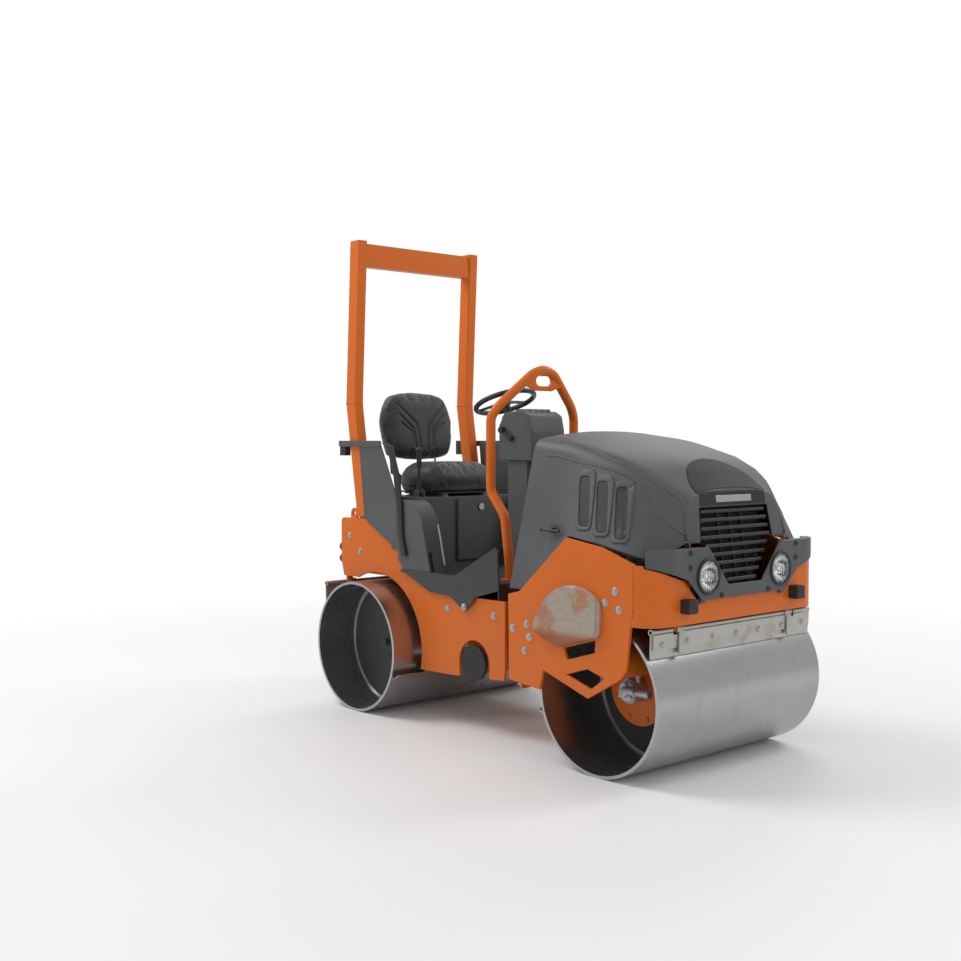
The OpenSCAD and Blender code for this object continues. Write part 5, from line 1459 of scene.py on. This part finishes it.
@dataclass
class Fasteners:
    """Hexagon bolts with washers and a low dome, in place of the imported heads."""

    head_r: float = 0.0132
    head_h: float = 0.0085
    washer_r: float = 0.019
    washer: tuple[tuple[float, float], ...] = (
        (0.0, 0.0), (0.0, 1.0), (0.002, 1.0), (0.0026, 0.94), (0.0026, 0.0)
    )
    head_foot: float = 0.0024
    inset_share: float = 0.16
    dome_h: float = 0.0012
    proud: float = 0.0045
    most_corners: int = 30

    def head(self) -> bpy.types.Object:
        """One bolt that points along -Y, with its seat at zero.

        Returns:
            The bolt.
        """
        ring = [(out, self.washer_r * share) for out, share in self.washer]
        washer = Bench.spun("washer", ring, (0, 0, 0), (0, -1, 0), 28)
        ends = (0, -self.head_foot, 0), (0, -self.head_h, 0)
        head = Bench.rod("head", *ends, self.head_r, 6)
        Bench.pick(head, faces=lambda f: f.normal.y < -0.9)
        bpy.ops.mesh.inset(thickness=self.head_r * self.inset_share)
        bpy.ops.transform.translate(value=(0, -self.dome_h, 0))
        bpy.ops.object.mode_set(mode="OBJECT")
        Bench.bevel(head, 0.0008, 2)
        return Bench.join("bolt", [washer, head])

    def build(self, shop: Shop) -> None:
        """Makes one bolt and copies it to each packed head.

        Args:
            shop: Where pieces are handed in.
        """
        for node, body in (("front_bolts", "front_module"), ("rear_bolts", "rear_module")):
            mesh = bmesh.new()
            mesh.from_mesh(shop.frame["nodes"][node].data)
            bmesh.ops.remove_doubles(mesh, verts=mesh.verts, dist=MERGE)
            left, middles = set(mesh.verts), []
            while left:
                group, stack = [], [min(left, key=lambda v: v.index)]
                left.discard(stack[0])
                while stack:
                    vert = stack.pop()
                    group.append(vert.co.copy())
                    for edge in vert.link_edges:
                        other = edge.other_vert(vert)
                        if other in left:
                            left.discard(other)
                            stack.append(other)
                if len(group) < self.most_corners:
                    middles.append(sum(group, Vector()) / len(group))
            mesh.free()
            heads = []
            for side in (-1, 1):
                places = [(m.x, side * m.y, m.z) for m in middles if m.y * side > 0]
                bolt = self.head()
                Bench.copies(bolt, [(x, -y + self.proud, z) for x, y, z in places])
                if side > 0:
                    bolt.data.transform(Matrix.Scale(-1, 4, (0, 1, 0)))
                    bolt.data.flip_normals()
                heads.append(bolt)
            shop.hand_in(Bench.join(f"{node}_heads", heads), body, "bare_steel", node)


@dataclass
class Lamps:
    """The two round headlamps: bright bowls, bulbs, rims and fluted glasses."""

    place_y: float = 0.268
    place_z: float = 0.909
    rim_x: float = 1.283
    rim_r: float = 0.081
    bowl_depth: float = 0.05

    def build(self, shop: Shop) -> None:
        """Builds both lamps.

        Args:
            shop: Where pieces are handed in.
        """
        chrome = Metal(
            "lamp_chrome", (0.86, 0.87, 0.88), (0.7, 0.7, 0.7), 0.12, 90.0, 0.0003, 1.0, 0.1
        ).build()
        shells, bowls, glasses = [], [], []
        for side in (-1, 1):
            place, along = (self.rim_x, side * self.place_y, self.place_z), (1, 0, 0)
            r, d = self.rim_r, self.bowl_depth
            shell = [(-d - 0.018, 0.0), (-d - 0.018, 0.03), (-d - 0.01, 0.045), (-0.012, r * 0.93),
                     (-0.004, r * 0.99), (0.004, r), (0.0075, r * 0.97), (0.0075, r * 0.86),
                     (0.002, r * 0.83)]
            shells.append(Bench.spun("lamp_shell", shell, place, along, 56))
            bowl = [(-d * (1 - (k / 10) ** 2), max(0.0, r * 0.83 * k / 10)) for k in range(11)]
            bowls.append(Bench.spun("lamp_bowl", bowl, place, along, 56))
            bulb = [(-d + 0.002, 0.011), (-d + 0.018, 0.012), (-d + 0.026, 0.016),
                    (-d + 0.034, 0.015), (-d + 0.039, 0.009), (-d + 0.04, 0.0)]
            bowls.append(Bench.spun("lamp_bulb", bulb, place, along, 28))
            glass = [(0.001 + 0.0105 * math.cos(k / 12 * math.pi / 2) ** 0.8, r * 0.85 * k / 12)
                     for k in range(13)]
            glasses.append(Bench.spun("lamp_glass", glass, place, along, 56))
        shop.hand_in(
            Bench.join("lamp_shells", shells), "front_module", "black_plastic", "headlamps"
        )
        shop.hand_in(Bench.join("lamp_bowls", bowls), "front_module", "bare_steel", finish=chrome)
        shop.hand_in(
            Bench.join("lamp_glasses", glasses), "front_module", "lamp_glass", "headlamp_lenses"
        )


@dataclass
class GrilleBack:
    """The dark screen behind the grille's slats."""

    low_z: float = 0.86
    high_z: float = 1.2
    low_x: float = 1.226
    high_x: float = 1.172
    low_half: float = 0.106
    mid_half: float = 0.25
    high_half: float = 0.233
    mid_share: float = 0.62
    rows: int = 44
    rib: float = 0.0022
    wall: float = 0.003

    def build(self, shop: Shop) -> None:
        """Makes a ribbed sheet that follows the slats.

        Args:
            shop: Where pieces are handed in.
        """
        Bench.clear()
        bpy.ops.mesh.primitive_grid_add(x_subdivisions=2, y_subdivisions=self.rows, size=1.0)
        sheet = Bench.named("grille_screen")
        for vert in sheet.data.vertices:
            share = vert.co.y + 0.5
            if share > self.mid_share:
                top = (share - self.mid_share) / (1 - self.mid_share)
                half = self.mid_half + (self.high_half - self.mid_half) * top
            else:
                half = self.low_half + (self.mid_half - self.low_half) * share / self.mid_share
            x = self.low_x + (self.high_x - self.low_x) * share
            wave = self.rib * math.cos(math.pi * round(share * self.rows))
            side = vert.co.x * 2
            vert.co = (x + wave, side * half, self.low_z + (self.high_z - self.low_z) * share)
        Bench.outward(sheet)
        wall = sheet.modifiers.new("wall", "SOLIDIFY")
        wall.thickness = self.wall
        bpy.ops.object.modifier_apply(modifier=wall.name)
        shop.hand_in(sheet, "front_module", "black_plastic")


@dataclass
class VentSurrounds:
    """Rounded surrounds on the three slots in each side of the hood, each slot closed by a black
    sheet that stands in for the shade in its depth.
    """

    middles: tuple[tuple[float, float], ...] = ((0.794, 1.2516), (0.899, 1.2296), (1.004, 1.2056))
    plate: tuple[float, ...] = (0.002, -0.012, 12.0, 0.0475, 0.137)
    slot: tuple[float, ...] = (0.0, -0.02, 17.0, 0.0295, 0.112)
    squareness: float = 0.36
    proud: float = 0.0065
    # How far the black sheet in each slot, a painted shade of the slot's depth, stands out of the
    # hood
    floor: float = 0.0015
    sunk: float = 0.003
    step: float = 0.008
    most_steps: int = 24
    middle_y: float = -0.3
    usual_y: float = -0.55
    count: int = 72

    def outline(self, middle: tuple[float, float], form: Sequence[float]) -> list[Vector]:
        """A rounded, leaning outline, as points from the same start.

        Args:
            middle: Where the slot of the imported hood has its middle, along and up.
            form: Shift along and up, lean in degrees, half width and half height.

        Returns:
            Points along and up.
        """
        shift_x, shift_z, lean, half_w, half_h = form
        points = []
        for k in range(self.count):
            turn = 2 * math.pi * k / self.count
            x, z = (
                math.copysign(abs(part) ** self.squareness, part) * half
                for part, half in ((math.cos(turn), half_w), (math.sin(turn), half_h))
            )
            points.append(Vector((
                middle[0] + shift_x + x - z * math.tan(math.radians(lean)), middle[1] + shift_z + z
            )))
        return points

    def cast(self, tree: BVHTree, x: float, z: float) -> float | None:
        """The hood's right side at a place, or None over a slot."""
        spot = tree.ray_cast(Vector((x, -1.0, z)), Vector((0, 1, 0)))[0]
        return spot.y if spot is not None and spot.y < self.middle_y else None

    def wall(self, tree: BVHTree, x: float, z: float) -> float:
        """The hood's right side at a place, carried across its slots.

        Args:
            tree: The hood.
            x: The place along.
            z: The place up.

        Returns:
            Its place across.
        """
        here = self.cast(tree, x, z)
        if here is not None:
            return here
        ends = []
        for side in (-1, 1):
            for k in range(1, self.most_steps):
                found = self.cast(tree, x + side * k * self.step, z)
                if found is not None:
                    ends.append((k, found))
                    break
        if len(ends) < 2:
            return ends[0][1] if ends else self.usual_y
        (k0, y0), (k1, y1) = ends
        return (y0 * k1 + y1 * k0) / (k0 + k1)

    @staticmethod
    def loops(
        first: Sequence[Vector], last: Sequence[Vector], rings: Sequence[tuple[float, float]]
    ) -> list[tuple[list[Vector], float]]:
        """Loops between two outlines, each with how far it stands out of the hood."""
        return [([a.lerp(b, share) for a, b in zip(first, last)], out) for share, out in rings]

    def skin(
        self, name: str, loops: Sequence[tuple[Sequence[Vector], float]], tree: BVHTree
    ) -> bpy.types.Object:
        """A closed skin through loops that are laid on the hood.

        Args:
            name: The piece's name.
            loops: Each loop's points and how far it stands out of the hood.
            tree: The hood.

        Returns:
            The piece.
        """
        across = len(loops) - 1
        Bench.clear()
        bpy.ops.mesh.primitive_grid_add(x_subdivisions=self.count, y_subdivisions=across, size=1.0)
        piece = Bench.named(name)
        for vert in piece.data.vertices:
            points, out = loops[round((vert.co.y + 0.5) * across)]
            spot = points[round((vert.co.x + 0.5) * self.count) % self.count]
            vert.co = (spot.x, self.wall(tree, spot.x, spot.y) - out, spot.y)
        Bench.outward(piece)
        return piece

    def build(self, shop: Shop, hood: bpy.types.Object) -> None:
        """Makes every surround and the black sheet that paints the shade in its slot, and their
        twin on the left side.

        Args:
            shop: Where pieces are handed in.
            hood: The hood with its rounded edges.
        """
        tree = BVHTree.FromObject(hood, bpy.context.evaluated_depsgraph_get())
        surrounds, shade_sheets = [], []
        for middle in self.middles:
            outer, inner = self.outline(middle, self.plate), self.outline(middle, self.slot)
            heart = [sum(inner, Vector((0, 0))) / self.count] * self.count
            rim = [(0.0, -self.sunk), (0.0, self.proud * 0.5), (0.06, self.proud * 0.86),
                   (0.16, self.proud), (0.5, self.proud), (0.84, self.proud),
                   (0.94, self.proud * 0.86), (1.0, self.proud * 0.5), (1.0, -self.sunk),
                   (0.0, -self.sunk)]
            # The black sheet that closes the slot: painted shade of the slot's depth
            floor = [(1.0, -self.sunk), (0.0, -self.sunk), (0.0, self.floor), (0.34, self.floor),
                     (0.67, self.floor), (1.0, self.floor)]
            surrounds.append(self.skin("surround", self.loops(outer, inner, rim), tree))
            shade_sheets.append(self.skin("slot_shade_sheet", self.loops(inner, heart, floor), tree))
        for name, parts, slot in (("hood_vent_surrounds", surrounds, "dark_plastic"),
                                  ("hood_vent_shade_sheets", shade_sheets, "black_plastic")):
            whole = Bench.join(name, parts)
            twin = bpy.data.objects.new(f"{name}_twin", whole.data.copy())
            bpy.context.scene.collection.objects.link(twin)
            twin.data.transform(Matrix.Scale(-1, 4, (0, 1, 0)))
            twin.data.flip_normals()
            shop.hand_in(Bench.join(name, [whole, twin]), "hood", slot, angle=50.0)


@dataclass
class HoodPlates:
    """The bare black plate on the front of the hood, and the band with a bare bar below it."""

    plate_x: float = 1.2
    plate_half: float = 0.25
    plate_dip: float = 0.165
    least_root: float = 0.0002
    band: tuple[float, float, float] = (1.214, 0.238, 1.277)
    bar: tuple[float, float, float] = (1.228, 0.13, 1.258)
    lift: float = 0.0012
    wall: float = 0.002
    columns: int = 48
    rows: int = 20

    def laid(
        self, name: str, hood: bpy.types.Object, edge: Callable[[float], float], half: float,
        top: float, look: Vector,
    ) -> bpy.types.Object:
        """A thin plate laid on the hood.

        Args:
            name: The plate's name.
            hood: The hood that it lies on.
            edge: The plate's near edge at each place across.
            half: Half the plate's width.
            top: Its far edge.
            look: The direction in which the flat plate is pressed onto the hood.

        Returns:
            The plate.
        """
        tree = BVHTree.FromObject(hood, bpy.context.evaluated_depsgraph_get())
        Bench.clear()
        bpy.ops.mesh.primitive_grid_add(
            x_subdivisions=self.columns, y_subdivisions=self.rows, size=1.0
        )
        plate = Bench.named(name)
        mesh = bmesh.new()
        mesh.from_mesh(plate.data)
        gone = []
        for vert in mesh.verts:
            u = math.sin(vert.co.x * math.pi) * half
            v = edge(u) + (vert.co.y + 0.5) * (top - edge(u))
            origin = Vector((1.6, u, v)) if abs(look.x) > 0.5 else Vector((v, u, 2.0))
            hit = tree.ray_cast(origin, look)
            if hit[0] is None:
                gone.append(vert)
                continue
            vert.co = hit[0] + hit[1] * self.lift
        bmesh.ops.delete(mesh, geom=gone, context="VERTS")
        mesh.to_mesh(plate.data)
        mesh.free()
        Bench.outward(plate)
        if sum((f.normal for f in plate.data.polygons), Vector()).x < 0:
            plate.data.flip_normals()
        step = plate.modifiers.new("wall", "SOLIDIFY")
        step.thickness = self.wall
        step.offset = 1.0
        bpy.ops.object.modifier_apply(modifier=step.name)
        return plate

    def build(self, shop: Shop, hood: bpy.types.Object) -> None:
        """Lays the plate, the band and its bar.

        Args:
            shop: Where pieces are handed in.
            hood: The hood with its rounded edges.
        """
        x, half, dip, least = self.plate_x, self.plate_half, self.plate_dip, self.least_root
        top = self.laid(
            "hood_front_plate", hood,
            lambda u: x - dip * math.sqrt(max(least, 1 - (u / half) ** 2)), half, x,
            Vector((0, 0, -1)),
        )
        matte = Plastic("matte_black", (0.008, 0.008, 0.009), 0.6, 420.0, 0.0001, 0.05).build()
        shop.hand_in(top, "hood", "black_plastic", finish=matte)
        backwards = Vector((-1, 0, 0))
        low, wide, high = self.band
        band = self.laid("hood_name_band", hood, lambda u: low, wide, high, backwards)
        shop.hand_in(band, "hood", "black_plastic", finish=matte)
        self.lift += self.wall
        low, wide, high = self.bar
        bar = self.laid("hood_name_bar", hood, lambda u: low, wide, high, backwards)
        shop.hand_in(bar, "hood", "bare_steel")


@dataclass
class ScraperFittings:
    """Bolts and straps on the outer scrapers' bars."""

    bar_z: float = 0.628
    face_x: float = 1.2355
    bolt_ys: tuple[float, ...] = (-0.52, -0.35, -0.17, 0.0, 0.17, 0.35, 0.52)
    strap_ys: tuple[float, ...] = (-0.4, 0.4)
    strap_half: float = 0.016
    strap_top: float = 0.058
    hook_half: float = 0.024
    hook_r: float = 0.019

    def build(self, shop: Shop) -> None:
        """Makes the fittings of one bar and copies them to the other.

        Args:
            shop: Where pieces are handed in.
        """
        fasteners = Fasteners(head_r=0.011, head_h=0.0075, washer_r=0.016)
        for sign, body in ((1, "front_scraper_outer"), (-1, "rear_scraper_outer")):
            bolt = fasteners.head()
            bolt.data.transform(Matrix.Rotation(math.radians(90), 4, "Z"))
            Bench.copies(bolt, [(self.face_x - 0.003, y, self.bar_z) for y in self.bolt_ys])
            parts = [bolt]
            for y in self.strap_ys:
                top = self.bar_z + self.strap_top
                strap = Bench.block(
                    "strap", (self.face_x - 0.004, y - self.strap_half, self.bar_z - 0.05),
                    (self.face_x + 0.009, y + self.strap_half, top),
                )
                Bench.bevel(strap, 0.005, 4)
                ends = [(self.face_x - 0.012, y + side * self.hook_half, top) for side in (-1, 1)]
                hook = Bench.rod("hook", *ends, self.hook_r, 24)
                Bench.bevel(hook, 0.004, 3)
                parts += [strap, hook]
            whole = Bench.join(f"{body}_fittings", parts)
            if sign < 0:
                whole.data.transform(Matrix.Rotation(math.pi, 4, "Z"))
            shop.hand_in(whole, body, "bare_steel")


@dataclass
class SeatPad:
    """A padded part of the seat: its packed form, swollen, with sewn channels."""

    name: str
    node: str
    body: str
    voxel: float = 0.0055
    pressure: float = 3.0
    cap: float = 0.008
    shrink: float = 0.965
    easing: int = 6
    grooves: tuple[tuple[tuple[float, float], ...], ...] = ()
    groove_r: float = 0.0065
    groove_depth: float = 0.0075
    front: float = 0.35
    frames: int = 20

    def swell(self, piece: bpy.types.Object) -> None:
        """Fills the pad with a short cloth simulation, and caps how far it moves.

        Args:
            piece: The pad.
        """
        rest = [v.co.copy() for v in piece.data.vertices]
        Bench.hold(piece)
        cloth = piece.modifiers.new("stuffing", "CLOTH")
        cloth.settings.use_pressure = True
        cloth.settings.uniform_pressure_force = self.pressure
        cloth.settings.effector_weights.gravity = 0.0
        cloth.settings.quality = 4
        cloth.point_cache.frame_start = 1
        cloth.point_cache.frame_end = self.frames
        for frame_number in range(1, self.frames + 1):
            bpy.context.scene.frame_set(frame_number)
        layer = bpy.context.evaluated_depsgraph_get()
        shown = piece.evaluated_get(layer).data
        moved = [v.co.copy() for v in shown.vertices]
        piece.modifiers.remove(cloth)
        bpy.context.scene.frame_set(1)
        for vert, first, last in zip(piece.data.vertices, rest, moved):
            step = last - first
            if step.length > self.cap:
                step = step.normalized() * self.cap
            vert.co = first + step

    def carve(self, piece: bpy.types.Object) -> None:
        """Presses the moulded lines into the front of the pad, alike on both sides.

        Args:
            piece: The pad.
        """
        if not self.grooves:
            return
        verts = piece.data.vertices
        half_y = max(abs(v.co.y) for v in verts)
        low, high = min(v.co.z for v in verts), max(v.co.z for v in verts)
        middle, half_z = (low + high) / 2, (high - low) / 2
        pairs = []
        for line in self.grooves:
            ends = [Vector((u * half_y, v * half_z)) for u, v in line]
            pairs += list(zip(ends, ends[1:]))
        steps = []
        for vert in verts:
            depth = 0.0
            if vert.normal.x > self.front:
                spot = Vector((abs(vert.co.y), vert.co.z - middle))
                far = min(self.distance(spot, start, end) for start, end in pairs)
                depth = self.groove_depth * math.exp(-((far / self.groove_r) ** 2))
            steps.append(vert.normal * depth)
        for vert, step in zip(verts, steps):
            vert.co -= step

    @staticmethod
    def distance(spot: Vector, start: Vector, end: Vector) -> float:
        """How far a point lies from a stretch of line.

        Args:
            spot: The point.
            start: Where the line starts.
            end: Where it ends.

        Returns:
            The distance.
        """
        along = end - start
        share = max(0.0, min(1.0, (spot - start).dot(along) / along.length_squared))
        return (spot - start - along * share).length

    def build(self, shop: Shop) -> bpy.types.Object:
        """Makes the pad.

        Args:
            shop: Where pieces are handed in.

        Returns:
            The pad.
        """
        source = shop.frame["nodes"][self.node]
        piece = bpy.data.objects.new(self.name, source.data.copy())
        bpy.context.scene.collection.objects.link(piece)
        Bench.outward(piece)
        low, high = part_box(self.node)
        middle = (low + high) / 2
        for vert in piece.data.vertices:
            vert.co = middle + (vert.co - middle) * self.shrink
        piece.data.remesh_voxel_size = self.voxel
        Bench.hold(piece)
        bpy.ops.object.voxel_remesh()
        ease = piece.modifiers.new("ease", "SMOOTH")
        ease.factor = 0.5
        ease.iterations = self.easing
        bpy.ops.object.modifier_apply(modifier=ease.name)
        self.swell(piece)
        step = piece.modifiers.new("finer", "SUBSURF")
        step.levels = step.render_levels = 1
        bpy.ops.object.modifier_apply(modifier=step.name)
        self.carve(piece)
        shop.hand_in(piece, self.body, "seat_cover", self.node, angle=60.0)
        return piece


def main() -> None:
    """Builds the looks in order."""
    logging.basicConfig(level=logging.INFO, format="%(message)s")
    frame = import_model()
    finishes = Finishes()
    finishes.build()
    finishes.dress(frame)
    for drum in ("front_drum", "rear_drum"):
        low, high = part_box(drum)
        steel = DrumSteel(
            f"{drum}_steel", (low.x + high.x) / 2, (low.z + high.z) / 2, (high.z - low.z) / 2
        ).build()
        for place in range(len(frame["nodes"][drum].material_slots)):
            frame["nodes"][drum].data.materials[place] = steel
    for latch in ("hood_latch_right", "hood_latch_left"):
        frame["nodes"][latch].data.materials[0] = finishes.made["black_plastic"]
    shop = Shop(frame, finishes)
    FloorStuds().build(shop)
    castings = (
        ("hood", 0.006, 3), ("headlight_panel", 0.004, 2), ("side_panels", 0.004, 2),
        ("rops_frame", 0.004, 2), ("front_frame", 0.003, 2), ("rear_frame", 0.003, 2),
        ("seat_console", 0.004, 2), ("operator_platform", 0.0025, 2),
        ("side_cover", 0.005, 3), ("front_bumpers", 0.004, 3), ("water_tank", 0.006, 3),
        ("console_door", 0.0012, 2), ("engine", 0.003, 2), ("rear_lights", 0.0015, 2),
        ("front_drum_carrier", 0.003, 2), ("rear_drum_carrier", 0.003, 2),
    )
    for node, width, segments in castings:
        RoundedCasting(node, width, segments, spared=SPARED.get(node, ())).build(shop)
    hood = bpy.data.objects["hood_shaped"]
    VentSurrounds().build(shop, hood)
    HoodPlates().build(shop, hood)
    HoodSwages().build(shop, hood)
    DashPod("dash_console", 0.005, 3).build(shop)
    SideTrims().build(shop)
    MotorFittings().build(shop)
    PanelScrews().build(shop)
    LeverDress().build(shop)
    GrilleBack().build(shop)
    Lamps().build(shop)
    RollFrame().build(shop)
    Fasteners().build(shop)
    ScraperFittings().build(shop)
    SeatPad("seat_cushion_pad", "seat_cushion", "seat").build(shop)
    SeatPad(
        "seat_backrest_pad", "seat_backrest", "seat_back", easing=18, grooves=BACKREST_LINES
    ).build(shop)
    Studio().build()


if __name__ == "__main__":
    main()
